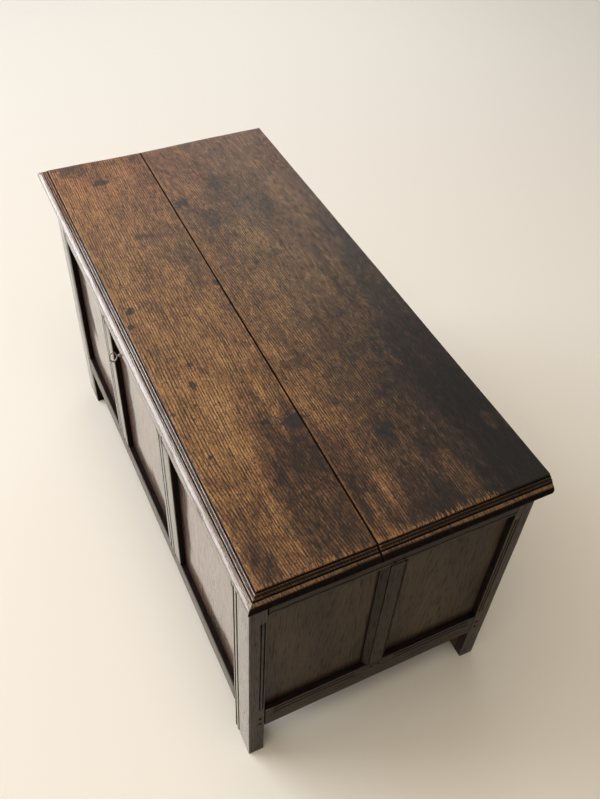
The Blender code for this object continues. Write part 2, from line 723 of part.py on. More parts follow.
def build_hinges(iron):
    """Builds the two butt hinges let into the back rail and the lid."""
    rail, board = bpy.data.objects["back_top_rail"], bpy.data.objects["lid_back_board"]
    for name, x in (("left", -HINGE_X), ("right", HINGE_X)):
        cut(rail, *hinge_seat(x, False), hinge_spikes(x, False, GAP))
        cut(board, *hinge_seat(x, True), hinge_spikes(x, True, GAP))
        build_leaf(f"hinge_{name}_rail_leaf", x, False, iron)
        build_leaf(f"hinge_{name}_lid_leaf", x, True, iron)
        pin = bmesh.new()
        rings = ((0.0, PIN_RADIUS), (LEAF_LENGTH, PIN_RADIUS))
        add_turned(pin, Vector((x - LEAF_LENGTH / 2, HINGE_Y, HINGE_Z)), X_AXIS, rings, ROUND_SIDES)
        shade_round(make(f"hinge_{name}_pin", pin, iron))


def keyhole():
    """Makes the round hole and the slot that the key goes in by."""
    hole, slot = bmesh.new(), bmesh.new()
    radius = KEY_SHANK_RADIUS + KEYHOLE_CLEARANCE
    rings = ((Y_FRONT - CUT_MARGIN, radius), (LOCK_FACE + CUT_MARGIN, radius))
    add_turned(hole, Vector((KEY_X, 0.0, KEY_Z)), Y_AXIS, rings, ROUND_SIDES)
    half = BIT_THICKNESS / 2 + KEYHOLE_CLEARANCE
    add_box(slot, (KEY_X - half, Y_FRONT - CUT_MARGIN, KEY_Z - BIT_RADIUS - KEYHOLE_CLEARANCE),
            (KEY_X + half, LOCK_FACE + CUT_MARGIN, KEY_Z))
    return hole, slot


def lock_nail_places():
    """Lists where nails hold the lock plate: its upper corners, and below the case beside the key."""
    high = LOCK_PLATE_HIGH - LOCK_PLATE_NAIL_INSET
    low = LOCK_PLATE_LOW + LOCK_PLATE_NAIL_INSET
    corner = LOCK_PLATE_WIDTH / 2 - LOCK_PLATE_NAIL_INSET
    spots = ((-corner, high), (corner, high), (-LOWER_NAIL_OFFSET, low), (LOWER_NAIL_OFFSET, low))
    return [Vector((KEY_X + x, LOCK_FACE, z)) for x, z in spots]


def build_lock_plate(iron):
    """Builds the lock's plate with the two guides that its bolt slides in."""
    shape = bmesh.new()
    half = LOCK_PLATE_WIDTH / 2
    add_box(shape, (KEY_X - half, LOCK_FACE - LOCK_PLATE_THICKNESS, LOCK_PLATE_LOW),
            (KEY_X + half, LOCK_FACE, LOCK_PLATE_HIGH))
    plate = make("lock_plate", shape, iron)
    guides, windows = bmesh.new(), bmesh.new()
    right = KEY_X + BOLT_REACH - GUIDE_WIDTH - GAP
    left = KEY_X + BOLT_REACH + BOLT_TRAVEL - BOLT_LENGTH + GAP
    for x in (left, right):
        add_box(guides, (x, LOCK_FACE - LOCK_PLATE_THICKNESS / 2, BOLT_LOW - GAP - GUIDE_WALL),
                (x + GUIDE_WIDTH, BOLT_BACK + GAP + GUIDE_WALL, BOLT_HIGH + GAP + GUIDE_WALL))
        add_box(windows, (x - CUT_MARGIN, BOLT_FRONT - GAP, BOLT_LOW - GAP),
                (x + GUIDE_WIDTH + CUT_MARGIN, BOLT_BACK + GAP, BOLT_HIGH + GAP))
    combine(plate, guides, "UNION")
    cut(plate, windows, *keyhole())
    return plate


def build_lock_case(iron):
    """Builds the cover over the works, open towards the plate, with a slot for the staple."""
    left = KEY_X + BOLT_REACH - BOLT_LENGTH - CASE_SWEEP_CLEARANCE
    right = KEY_X + BOLT_REACH + BOLT_TRAVEL + CASE_SWEEP_CLEARANCE
    low = KEY_Z - BIT_RADIUS - CASE_SWEEP_CLEARANCE
    high = CARCASE_HEIGHT - CASE_TOP_DROP - CASE_WALL
    front = LOCK_FACE + GAP
    back = staple_span()[1] + CASE_SWEEP_CLEARANCE
    shape, hollow, slot = bmesh.new(), bmesh.new(), bmesh.new()
    add_box(shape, (left - CASE_WALL, front, low - CASE_WALL),
            (right + CASE_WALL, back + CASE_WALL, high + CASE_WALL))
    case = make("lock_case", shape, iron)
    add_box(hollow, (left, front - CUT_MARGIN, low), (right, back, high))
    spare = STAPLE_SLOT_CLEARANCE / 2
    add_box(slot, (STAPLE_LEFT - spare, staple_span()[0] - STAPLE_SLOT_CLEARANCE, high - CUT_MARGIN),
            (STAPLE_LEFT + STAPLE_THICKNESS + spare, staple_span()[1] + spare, high + CASE_WALL + CUT_MARGIN))
    cut(case, hollow, slot)


def build_lock_bolt(iron):
    """Builds the bolt, drawn back, with the talon that the key's bit turns into."""
    right = KEY_X + BOLT_REACH
    shape, talon = bmesh.new(), bmesh.new()
    add_box(shape, (right - BOLT_LENGTH, BOLT_FRONT, BOLT_LOW), (right, BOLT_BACK, BOLT_HIGH))
    bolt = make("lock_bolt", shape, iron)
    middle = KEY_X - BOLT_TRAVEL
    depth = BIT_RADIUS - BOLT_RISE + BIT_MARGIN
    add_box(talon, (middle - TALON_WIDTH / 2, BOLT_FRONT - CUT_MARGIN, BOLT_LOW - CUT_MARGIN),
            (middle + TALON_WIDTH / 2, BOLT_BACK + CUT_MARGIN, BOLT_LOW + depth))
    cut(bolt, talon)


def staple_span():
    """Gives the front and back of the staple that hangs from the lid into the lock."""
    reach = STAPLE_WINDOW_CLEARANCE + STAPLE_WALL
    return BOLT_FRONT - reach, BOLT_BACK + reach


def build_staple(iron):
    """Builds the spiked staple under the lid, whose window the bolt shoots into."""
    front, back = staple_span()
    top = LID_LOW - GAP
    middle = STAPLE_LEFT + STAPLE_THICKNESS / 2
    shape, tab, window = bmesh.new(), bmesh.new(), bmesh.new()
    add_box(shape, (middle - STAPLE_PLATE_LENGTH / 2, front, top - STAPLE_PLATE_THICKNESS),
            (middle + STAPLE_PLATE_LENGTH / 2, back, top))
    staple = make("lid_staple", shape, iron)
    add_box(tab, (STAPLE_LEFT, front, BOLT_LOW - STAPLE_WINDOW_CLEARANCE - STAPLE_WALL),
            (STAPLE_LEFT + STAPLE_THICKNESS, back, top - STAPLE_PLATE_THICKNESS / 2))
    add_box(window, (STAPLE_LEFT - CUT_MARGIN, front + STAPLE_WALL, BOLT_LOW - STAPLE_WINDOW_CLEARANCE),
            (STAPLE_LEFT + STAPLE_THICKNESS + CUT_MARGIN, back - STAPLE_WALL,
             BOLT_HIGH + STAPLE_WINDOW_CLEARANCE))
    combine(staple, tab, "UNION")
    cut(staple, window)
    inset = STAPLE_PLATE_LENGTH / 2 - NAIL_HEAD_RADIUS * 2
    places = [Vector((middle + sign * inset, (front + back) / 2, top)) for sign in (-1, 1)]
    combine(staple, spikes(places, Z_AXIS, NAIL_BITE), "UNION")
    cut(bpy.data.objects["lid_front_board"], spikes(places, Z_AXIS, NAIL_BITE, GAP))


def add_bow(shape):
    """Adds the key's oval ring bow, upright in the plane of the shank, around the key's own origin."""
    centre = Vector((0.0, Y_FRONT - KEY_REACH + BOW_LENGTH / 2, 0.0))
    radii = (BOW_LENGTH / 2 - BOW_WIRE_RADIUS, BOW_HEIGHT / 2 - BOW_WIRE_RADIUS)
    rings = []
    for index in range(BOW_SIDES):
        turn = 2 * math.pi * index / BOW_SIDES
        spoke = Vector((0.0, radii[0] * math.cos(turn), radii[1] * math.sin(turn)))
        outward = Vector((0.0, math.cos(turn) / radii[0], math.sin(turn) / radii[1])).normalized()
        ring = []
        for step in range(WIRE_SIDES):
            round_wire = 2 * math.pi * step / WIRE_SIDES
            offset = outward * math.cos(round_wire) + X_AXIS * math.sin(round_wire)
            ring.append(shape.verts.new(centre + spoke + offset * BOW_WIRE_RADIUS))
        rings.append(ring)
    faces = []
    for ring, beyond in zip(rings, rings[1:] + rings[:1]):
        for step in range(WIRE_SIDES):
            after = (step + 1) % WIRE_SIDES
            faces.append(shape.faces.new((ring[step], ring[after], beyond[after], beyond[step])))
    bmesh.ops.recalc_face_normals(shape, faces=faces)


def build_key(iron):
    """Builds the key, whose origin is on the axis that it turns about."""
    shape, bit, bow = bmesh.new(), bmesh.new(), bmesh.new()
    start = Y_FRONT - KEY_REACH + BOW_LENGTH - BOW_WIRE_RADIUS
    rings = ((start, KEY_SHANK_RADIUS), (LOCK_FACE + KEY_TIP, KEY_SHANK_RADIUS))
    add_turned(shape, Vector((0.0, 0.0, 0.0)), Y_AXIS, rings, ROUND_SIDES)
    key = make("key", shape, iron)
    add_box(bit, (-BIT_THICKNESS / 2, BOLT_FRONT + BIT_MARGIN, -BIT_RADIUS),
            (BIT_THICKNESS / 2, BOLT_BACK - BIT_MARGIN, 0.0))
    add_bow(bow)
    combine(key, bit, "UNION")
    combine(key, bow, "UNION")
    key.location = (KEY_X, 0.0, KEY_Z)
    shade_round(key)


def build_lock(iron):
    """Builds the lock on the inside of the front top rail, its key, and the staple under the lid."""
    rail = bpy.data.objects["front_top_rail"]
    cut(rail, *keyhole())
    plate = build_lock_plate(iron)
    length = LOCK_FACE - Y_FRONT
    for index, place in enumerate(lock_nail_places()):
        cut(plate, spikes([place], -Y_AXIS, length + CUT_MARGIN, GAP))
        cut(rail, spikes([place], -Y_AXIS, length + CUT_MARGIN, GAP))
        make_nail(f"lock_nail_{index + 1}", place, -Y_AXIS, length, iron)
    build_lock_case(iron)
    build_lock_bolt(iron)
    build_staple(iron)
    build_key(iron)


def main():
    """Builds the coffer from its carcase to its key."""
    clear_scene()
    frame_oak = finish("frame_oak", (0.085, 0.062, 0.045), 0.42)
    panel_oak = finish("panel_oak", (0.075, 0.055, 0.040), 0.46)
    lid_oak = finish("lid_oak", (0.150, 0.080, 0.038), 0.36)
    inside_oak = finish("inside_oak", (0.170, 0.110, 0.065), 0.75)
    iron = finish("wrought_iron", (0.060, 0.055, 0.052), 0.55, 0.9)
    build_stiles(frame_oak)
    for side in SIDES:
        for level in ("top", "bottom"):
            build_rail(side, level, frame_oak)
        for name, centre in side.muntins.items():
            label = f"{side.name}_muntin" if name == "middle" else f"{side.name}_muntin_{name}"
            build_muntin(side, label, centre, frame_oak)
        build_panels(side, panel_oak)
    build_floor(inside_oak)
    build_lid(lid_oak, iron)
    build_hinges(iron)
    build_lock(iron)


main()
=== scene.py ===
"""Dresses a joined oak coffer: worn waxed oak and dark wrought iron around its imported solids.

Metres throughout, in the frame of the solids: +X along the coffer, +Y to its back, +Z up.
"""
import logging
import math
from contextlib import contextmanager
from dataclasses import dataclass, field, replace
from enum import Enum
from functools import reduce
from typing import Callable, Iterator, Sequence, Union

import bmesh
import bpy
from mathutils import Matrix, Vector, noise


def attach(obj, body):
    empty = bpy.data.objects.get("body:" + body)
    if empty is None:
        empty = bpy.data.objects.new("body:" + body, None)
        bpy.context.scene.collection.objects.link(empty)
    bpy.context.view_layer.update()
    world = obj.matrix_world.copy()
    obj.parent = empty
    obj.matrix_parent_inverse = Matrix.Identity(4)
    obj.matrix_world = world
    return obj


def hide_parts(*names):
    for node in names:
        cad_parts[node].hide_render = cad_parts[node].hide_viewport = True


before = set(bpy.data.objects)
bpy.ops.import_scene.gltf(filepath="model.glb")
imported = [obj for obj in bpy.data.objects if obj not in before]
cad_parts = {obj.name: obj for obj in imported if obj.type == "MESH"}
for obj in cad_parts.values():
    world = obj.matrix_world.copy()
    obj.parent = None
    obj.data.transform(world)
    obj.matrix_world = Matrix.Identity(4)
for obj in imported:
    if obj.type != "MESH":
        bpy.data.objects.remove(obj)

LOG = logging.getLogger("coffer")
# How far from a plane a point still counts as in it.
NEAR = 1e-5
# The share of an edge's length that has to lie along an axis it runs with.
STRAIGHT = 0.99
STEEP_ANGLE = math.radians(45.0)
SMOOTH_ANGLE = math.radians(38.0)
ARRIS_STEPS = 3
SHOULDER_STEPS = 2
# Where the key's axis lies along the coffer and above the floor.
KEY_AXIS = (-0.024, 0.564)

Triple = tuple[float, float, float]
Pair = tuple[float, float]
Socket = bpy.types.NodeSocket
Sockets = tuple[Socket, Socket, Socket]
Feed = Union[Socket, float, Sequence[float]]


class Axis(Enum):
    """A direction of the coffer's own frame."""

    X = 0
    Y = 1
    Z = 2

    def vector(self, length: float = 1.0) -> Vector:
        """Gives a vector of some length along the axis."""
        return Vector([length if axis is self else 0.0 for axis in Axis])


class Pick(Enum):
    """What an edit-mode selection is made of."""

    VERT = "VERT"
    EDGE = "EDGE"


class Body(Enum):
    """The bodies that pieces ride on."""

    CARCASE = "carcase"
    LID = "lid"
    KEY = "key"


@dataclass(frozen=True)
class Block:
    """The box that a piece is sawn from."""

    low: Triple
    high: Triple

    @classmethod
    def between(cls, first: Sequence[float], second: Sequence[float]) -> "Block":
        """Makes a block from any two opposite corners."""
        return cls(tuple(map(min, first, second)), tuple(map(max, first, second)))

    @property
    def centre(self) -> Vector:
        """Gives the middle of the block."""
        return (Vector(self.low) + Vector(self.high)) / 2

    @property
    def size(self) -> Vector:
        """Gives the block's three sizes."""
        return Vector(self.high) - Vector(self.low)

    def bound(self, axis: Axis, side: int) -> float:
        """Gives where the block's face on one side of an axis lies."""
        return (self.high if side > 0 else self.low)[axis.value]


def clear_bench() -> None:
    """Deselects everything."""
    bpy.ops.object.select_all(action="DESELECT")


def runs_with(edge: bmesh.types.BMEdge, axis: Axis) -> bool:
    """Says whether an edge of a mesh runs along an axis."""
    run = edge.verts[1].co - edge.verts[0].co
    return abs(run[axis.value]) > STRAIGHT * run.length


class Workpiece:
    """One piece on the bench, which edit-mode operators and modifiers shape."""

    def __init__(self, name: str, block: Union[Block, None] = None) -> None:
        """Takes up the active object, which has just been added in its place.

        Args:
            name: The finished piece's name.
            block: Its size and place, if it is sawn.
        """
        self.thing = bpy.context.active_object
        self.thing.name = name
        self.thing.data.name = name
        self.block = block
        self.hold()
        bpy.ops.object.transform_apply(location=True, rotation=True, scale=True)

    @classmethod
    def sawn(cls, name: str, block: Block) -> "Workpiece":
        """Saws a plain block to size.

        Args:
            name: The finished piece's name.
            block: Its size and place.

        Returns:
            The piece.
        """
        clear_bench()
        bpy.ops.mesh.primitive_cube_add(size=1.0, location=block.centre)
        bpy.context.active_object.scale = block.size
        return cls(name, block)

    @classmethod
    def turned(cls, name: str, middle: Sequence[float], axis: Axis, length: float, radius: float,
               sides: int) -> "Workpiece":
        """Turns a plain round bar.

        Args:
            name: The finished piece's name.
            middle: Where its middle lies.
            axis: The axis along it.
            length: Its length.
            radius: Its radius.
            sides: How many sides it has.

        Returns:
            The piece.
        """
        clear_bench()
        turn = Axis.Z.vector().rotation_difference(axis.vector()).to_euler()
        bpy.ops.mesh.primitive_cylinder_add(vertices=sides, radius=radius, depth=length, location=middle,
                                            rotation=turn)
        return cls(name)

    def copied(self, name: str, places: Sequence[Matrix]) -> "Workpiece":
        """Copies the piece to several places as one new piece, and uses it up.

        Args:
            name: The new piece's name.
            places: Where each copy goes.

        Returns:
            The new piece.
        """
        made = []
        for place in places:
            copy = self.thing.copy()
            copy.data = self.thing.data.copy()
            copy.matrix_world = place
            bpy.context.collection.objects.link(copy)
            made.append(copy)
        bpy.data.objects.remove(self.thing, do_unlink=True)
        clear_bench()
        for copy in made:
            copy.select_set(True)
        bpy.context.view_layer.objects.active = made[0]
        bpy.ops.object.join()
        return Workpiece(name)

    def hold(self) -> None:
        """Makes this piece the only selected and the active one."""
        clear_bench()
        self.thing.select_set(True)
        bpy.context.view_layer.objects.active = self.thing

    @contextmanager
    def at_work(self, kind: Pick) -> Iterator[None]:
        """Opens the piece in edit mode with nothing selected, and closes it again.

        Args:
            kind: What the selection is made of.
        """
        self.hold()
        bpy.ops.object.mode_set(mode="EDIT")
        bpy.ops.mesh.select_mode(type=kind.value)
        bpy.ops.mesh.select_all(action="DESELECT")
        yield
        bpy.ops.object.mode_set(mode="OBJECT")

    def pick(self, kind: Pick, test: Callable) -> int:
        """Selects the points or edges that pass a test.

        Args:
            kind: What is tested.
            test: Takes a point or an edge of the mesh and says whether it is wanted.

        Returns:
            How many were selected.
        """
        shape = bmesh.from_edit_mesh(self.thing.data)
        wanted = [part for part in (shape.verts if kind is Pick.VERT else shape.edges) if test(part)]
        for part in wanted:
            part.select_set(True)
        shape.select_flush_mode()
        bmesh.update_edit_mesh(self.thing.data)
        return len(wanted)

    def saw(self, axis: Axis, places: Sequence[float]) -> None:
        """Scores the whole piece by planes across an axis, so that its faces can bend there.

        Args:
            axis: The axis that the planes stand across.
            places: Where they cut it.
        """
        with self.at_work(Pick.VERT):
            for place in places:
                bpy.ops.mesh.select_all(action="SELECT")
                bpy.ops.mesh.bisect(plane_co=axis.vector(place), plane_no=axis.vector(), threshold=NEAR)

    def saw_evenly(self, axis: Axis, pitch: float) -> None:
        """Scores the piece evenly across an axis.

        Args:
            axis: The axis that the cuts stand across.
            pitch: How far apart they are at most.
        """
        low, high = self.block.low[axis.value], self.block.high[axis.value]
        count = max(1, math.ceil((high - low) / pitch))
        self.saw(axis, [low + (high - low) * index / count for index in range(1, count)])

    def move(self, test: Callable[[Vector], bool], offset: Sequence[float]) -> None:
        """Moves the points whose place passes a test.

        Args:
            test: Takes a point's place and says whether it moves.
            offset: How far it moves.
        """
        with self.at_work(Pick.VERT):
            if self.pick(Pick.VERT, lambda vert: test(vert.co)):
                bpy.ops.transform.translate(value=offset)

    def shift(self, planes: dict[Axis, float], offset: Sequence[float]) -> None:
        """Moves the points that lie in every one of some planes, which are given by where they cut an axis."""
        self.move(lambda spot: all(abs(spot[axis.value] - cut) < NEAR for axis, cut in planes.items()), offset)

    def bevel(self, test: Callable, width: float, segments: int) -> None:
        """Rounds the edges that pass a test.

        Args:
            test: Takes an edge of the mesh and says whether it is rounded.
            width: How far the rounding reaches on each face.
            segments: How many steps it has.
        """
        with self.at_work(Pick.EDGE):
            if self.pick(Pick.EDGE, test):
                bpy.ops.mesh.bevel(offset_type="OFFSET", offset=width, segments=segments, profile=0.5,
                                   affect="EDGES", clamp_overlap=True)

    def ease(self, grain: Axis, arris: float, shoulder: float) -> None:
        """Rounds the long arrises of a board, and its two ends a little.

        Args:
            grain: The axis along the board.
            arris: The rounding of its long edges.
            shoulder: The rounding around its ends.
        """
        ends = (self.block.low[grain.value], self.block.high[grain.value])

        def end_edge(edge: bmesh.types.BMEdge) -> bool:
            """Says whether an edge borders an end of the board."""
            return any(all(abs(vert.co[grain.value] - end) < NEAR for vert in edge.verts)
                       and edge.calc_face_angle(0.0) > STEEP_ANGLE for end in ends)

        self.bevel(lambda edge: runs_with(edge, grain), arris, ARRIS_STEPS)
        self.bevel(end_edge, shoulder, SHOULDER_STEPS)

    def scratch(self, groove: "Groove", grain: Axis) -> None:
        """Scratches a groove into one face.

        Args:
            groove: Where it runs and how wide it is.
            grain: The axis that it runs along.
        """
        half = groove.width / 2
        self.saw(groove.across, [groove.place - half, groove.place, groove.place + half])
        start, end = groove.span or (-math.inf, math.inf)
        if groove.span:
            self.saw(grain, [start, start + groove.width, end - groove.width, end])
        face = self.block.bound(groove.face, groove.side)

        def in_line(place: Vector) -> bool:
            """Says whether a point lies on the groove's bottom line."""
            return (abs(place[groove.across.value] - groove.place) < NEAR
                    and abs(place[groove.face.value] - face) < groove.width
                    and start + NEAR < place[grain.value] < end - NEAR)

        self.move(in_line, groove.face.vector(-groove.side * half))

    def undulate(self, texture: bpy.types.Texture, strength: float) -> None:
        """Gives the surfaces the slight hollows of hand planing and age, always inwards.

        Args:
            texture: The pattern of the hollows.
            strength: Their greatest depth.
        """
        self.hold()
        hollows = self.thing.modifiers.new("hollows", "DISPLACE")
        hollows.texture = texture
        hollows.texture_coords = "LOCAL"
        hollows.strength = strength
        hollows.mid_level = 1.0
        bpy.ops.object.modifier_apply(modifier=hollows.name)

    def cut(self, cutter: "Workpiece", operation: str = "DIFFERENCE") -> None:
        """Cuts another piece's shape out of this one, and uses that piece up.

        Args:
            cutter: The other piece.
            operation: How the two shapes are put together.
        """
        self.hold()
        joint = self.thing.modifiers.new("joint", "BOOLEAN")
        joint.operation = operation
        joint.solver = "MANIFOLD"
        joint.object = cutter.thing
        bpy.ops.object.modifier_apply(modifier=joint.name)
        bpy.data.objects.remove(cutter.thing, do_unlink=True)

    def weld(self, other: "Workpiece") -> None:
        """Makes another piece one with this one, and uses that piece up."""
        self.cut(other, "UNION")

    def dent(self, place: Sequence[float], push: Sequence[float], reach: float) -> None:
        """Knocks a dent into the surface around its nearest point.

        Args:
            place: Where it was struck.
            push: How far and which way the wood gave.
            reach: How far around the dent fades out.
        """
        struck = Vector(place)
        nearest = min(self.thing.data.vertices, key=lambda vert: (vert.co - struck).length_squared).index
        with self.at_work(Pick.VERT):
            self.pick(Pick.VERT, lambda vert: vert.index == nearest)
            bpy.ops.transform.translate(value=push, use_proportional_edit=True,
                                        proportional_edit_falloff="SHARP", proportional_size=reach)

    def reshape(self, shift: Callable[[Vector], Vector]) -> None:
        """Works the surface point by point, as with a scraper."""
        for vert in self.thing.data.vertices:
            vert.co += shift(vert.co)

    def deliver(self, body: Body, slot: str, material: bpy.types.Material, *nodes: str) -> None:
        """Finishes the piece and puts it on its body.

        Args:
            body: What it moves with.
            slot: The name of a material slot, which is not used.
            material: Its finish.
            nodes: The solids that it stands for.
        """
        self.hold()
        bpy.ops.object.shade_smooth_by_angle(angle=SMOOTH_ANGLE)
        self.thing.data.materials.clear()
        self.thing.data.materials.append(material)
        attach(self.thing, body.value)
        if nodes:
            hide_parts(*nodes)
        LOG.info("%s: %d faces on %s", self.thing.name, len(self.thing.data.polygons), body.value)


@dataclass(frozen=True)
class Groove:
    """A scratched groove, half as deep as wide: its face, where it lies across that face, and its stops."""

    face: Axis
    side: int
    across: Axis
    place: float
    width: float
    span: Union[Pair, None] = None


@dataclass(frozen=True)
class Fade:
    """A smooth change from one number to another between two limits."""

    start: float
    end: float
    low: float = 0.0
    high: float = 1.0


class NodeBench:
    """The node tree of a material or of the world, built by short calls that hand sockets on."""

    def __init__(self, owner: Union[bpy.types.Material, bpy.types.World]) -> None:
        """Opens the node tree.

        Args:
            owner: What the nodes belong to.
        """
        owner.use_nodes = True
        self.owner = owner
        self.tree = owner.node_tree

    @classmethod
    def material(cls, name: str) -> "NodeBench":
        """Starts a material with its Principled shader."""
        return cls(bpy.data.materials.new(name))

    def inputs(self, name: str = "Principled BSDF") -> bpy.types.NodeInputs:
        """Gives the input sockets of a node that the tree starts with."""
        return self.tree.nodes[name].inputs

    def feed(self, socket: Socket, value: Feed) -> None:
        """Links a socket to another, or sets it to a value.

        Args:
            socket: The socket that is fed.
            value: What it is fed.
        """
        if isinstance(value, bpy.types.NodeSocket):
            self.tree.links.new(value, socket)
        else:
            socket.default_value = value

    def node(self, kind: str, inputs: dict[Union[int, str], Feed], **settings: object) -> bpy.types.Node:
        """Adds a node.

        Args:
            kind: The node's type.
            inputs: What its sockets are fed, by name or number.
            settings: Its properties.

        Returns:
            The node.
        """
        made = self.tree.nodes.new(kind)
        for key, value in settings.items():
            setattr(made, key, value)
        for key, value in inputs.items():
            self.feed(made.inputs[key], value)
        return made

    def math(self, operation: str, *values: Feed) -> Socket:
        """Works out one step of arithmetic."""
        return self.node("ShaderNodeMath", dict(enumerate(values)), operation=operation).outputs[0]

    def vector(self, operation: str, *values: Feed) -> Socket:
        """Works out one step of vector arithmetic."""
        made = self.node("ShaderNodeVectorMath", dict(enumerate(values)), operation=operation)
        return made.outputs["Value" if operation in ("LENGTH", "DOT_PRODUCT") else "Vector"]

    def times(self, *values: Feed) -> Feed:
        """Multiplies numbers."""
        return reduce(lambda first, second: self.math("MULTIPLY", first, second), values)

    def most(self, *values: Feed) -> Feed:
        """Gives the greatest of some numbers."""
        return reduce(lambda first, second: self.math("MAXIMUM", first, second), values)

    def least(self, *values: Feed) -> Feed:
        """Gives the least of some numbers."""
        return reduce(lambda first, second: self.math("MINIMUM", first, second), values)

    def plus(self, first: Feed, second: Feed) -> Socket:
        """Adds two numbers."""
        return self.math("ADD", first, second)

    def less(self, first: Feed, second: Feed) -> Socket:
        """Takes one number from another."""
        return self.math("SUBTRACT", first, second)

    def line(self, value: Feed, slope: Feed, start: Feed) -> Socket:
        """Gives a number's place on a straight line."""
        return self.math("MULTIPLY_ADD", value, slope, start)

    def rest(self, share: Feed) -> Socket:
        """Gives what a share leaves of the whole."""
        return self.less(1.0, share)

    def apart(self, value: Feed, other: Feed) -> Socket:
        """Gives how far apart two numbers are."""
        return self.math("ABSOLUTE", self.less(value, other))

    def split(self, vector: Socket) -> Sockets:
        """Takes a vector apart."""
        return tuple(self.node("ShaderNodeSeparateXYZ", {0: vector}).outputs)

    def join(self, x: Feed, y: Feed, z: Feed) -> Socket:
        """Joins three numbers into a vector."""
        return self.node("ShaderNodeCombineXYZ", {0: x, 1: y, 2: z}).outputs[0]

    def place(self) -> Socket:
        """Gives the place of a point on the piece."""
        return self.node("ShaderNodeTexCoord", {}).outputs["Object"]

    def facing(self, axis: Axis) -> Socket:
        """Gives how far a place faces along an axis."""
        return self.split(self.node("ShaderNodeTexCoord", {}).outputs["Normal"])[axis.value]

    def noise(self, place: Socket, detail: float = 2.0) -> Socket:
        """Gives a soft random field over a place."""
        return self.node("ShaderNodeTexNoise", {"Vector": place, "Scale": 1.0, "Detail": detail}).outputs[0]

    def step(self, value: Feed, start: float, end: float, low: float = 0.0, high: float = 1.0) -> Socket:
        """Eases a value from one number to another between two limits."""
        return self.node("ShaderNodeMapRange", {0: value, 1: start, 2: end, 3: low, 4: high},
                         interpolation_type="SMOOTHSTEP").outputs[0]

    def fade(self, value: Feed, fade: Fade) -> Socket:
        """Eases a value as a fade says."""
        return self.step(value, fade.start, fade.end, fade.low, fade.high)

    def mix(self, share: Feed, first: Feed, second: Feed, blend: str = "MIX") -> Socket:
        """Mixes two colours."""
        return self.node("ShaderNodeMix", {0: share, 6: first, 7: second}, data_type="RGBA",
                         blend_type=blend).outputs[2]

    def ramp(self, value: Feed, stops: Sequence[tuple[float, Triple]]) -> Socket:
        """Turns a number into a colour along a row of stops.

        Args:
            value: The number.
            stops: Each stop's number and colour.

        Returns:
            The colour.
        """
        made = self.node("ShaderNodeValToRGB", {0: value})
        elements = made.color_ramp.elements
        while len(elements) < len(stops):
            elements.new(1.0)
        for element, (place, colour) in zip(elements, stops):
            element.position = place
            element.color = rgba(colour)
        return made.outputs[0]


def rgba(colour: Triple) -> tuple[float, float, float, float]:
    """Gives a colour with full cover."""
    return (*colour, 1.0)


@dataclass(frozen=True)
class Growth:
    """How a tree's growth rings lie in a piece, measured from the piece's middle.

    The pith lies at some distance across the width and through the depth, and drifts along the grain.
    """

    pith: Pair
    drift: Pair = (0.0, 0.0)
    spacing: float = 0.0045
    wander: float = 0.010
    ripple: float = 0.0010
    sweep: float = 0.0

    def turned(self, across: int, through: int) -> "Growth":
        """Gives the same growth with its pith on other sides of the piece."""
        return replace(self, pith=(across * self.pith[0], through * self.pith[1]))


@dataclass(frozen=True)
class Stock:
    """A wooden piece as its finish needs to know it."""

    block: Block
    grain: Axis
    outer: tuple[tuple[Axis, int], ...]
    growth: Growth
    seed: float
    inside_from: float
    rebate: float = 0.0
    reveal: Pair = (0.0015, 0.0030)
    quirk: float = 0.0
    grooves: tuple[Groove, ...] = ()

    @property
    def runs(self) -> tuple[Axis, Axis, Axis]:
        """Finds how the piece lies.

        Returns:
            The axes across its width, through its depth and along its grain.
        """
        crossing = [axis for axis in Axis if axis is not self.grain]
        thin, wide = sorted(crossing, key=lambda axis: self.block.size[axis.value])
        return wide, thin, self.grain


@dataclass(frozen=True)
class Strands:
    """A random field that is drawn out along the grain: its scales, its offset and its detail."""

    across: float
    along: float
    offset: float
    detail: float = 3.0


@dataclass(frozen=True)
class Figure:
    """A piece's material in the making, with the sockets of its places and its wood figure.

    The gaps say how far a place is from the piece's faces across the width, through the depth and along the
    grain, and the depth says how far it lies behind the outer faces.
    """

    bench: NodeBench
    stock: Stock
    place: Socket
    world: Sockets
    gaps: list[Socket]
    depth: Socket
    line: Socket
    pore: Socket
    blotch: Socket
    fibre: Socket


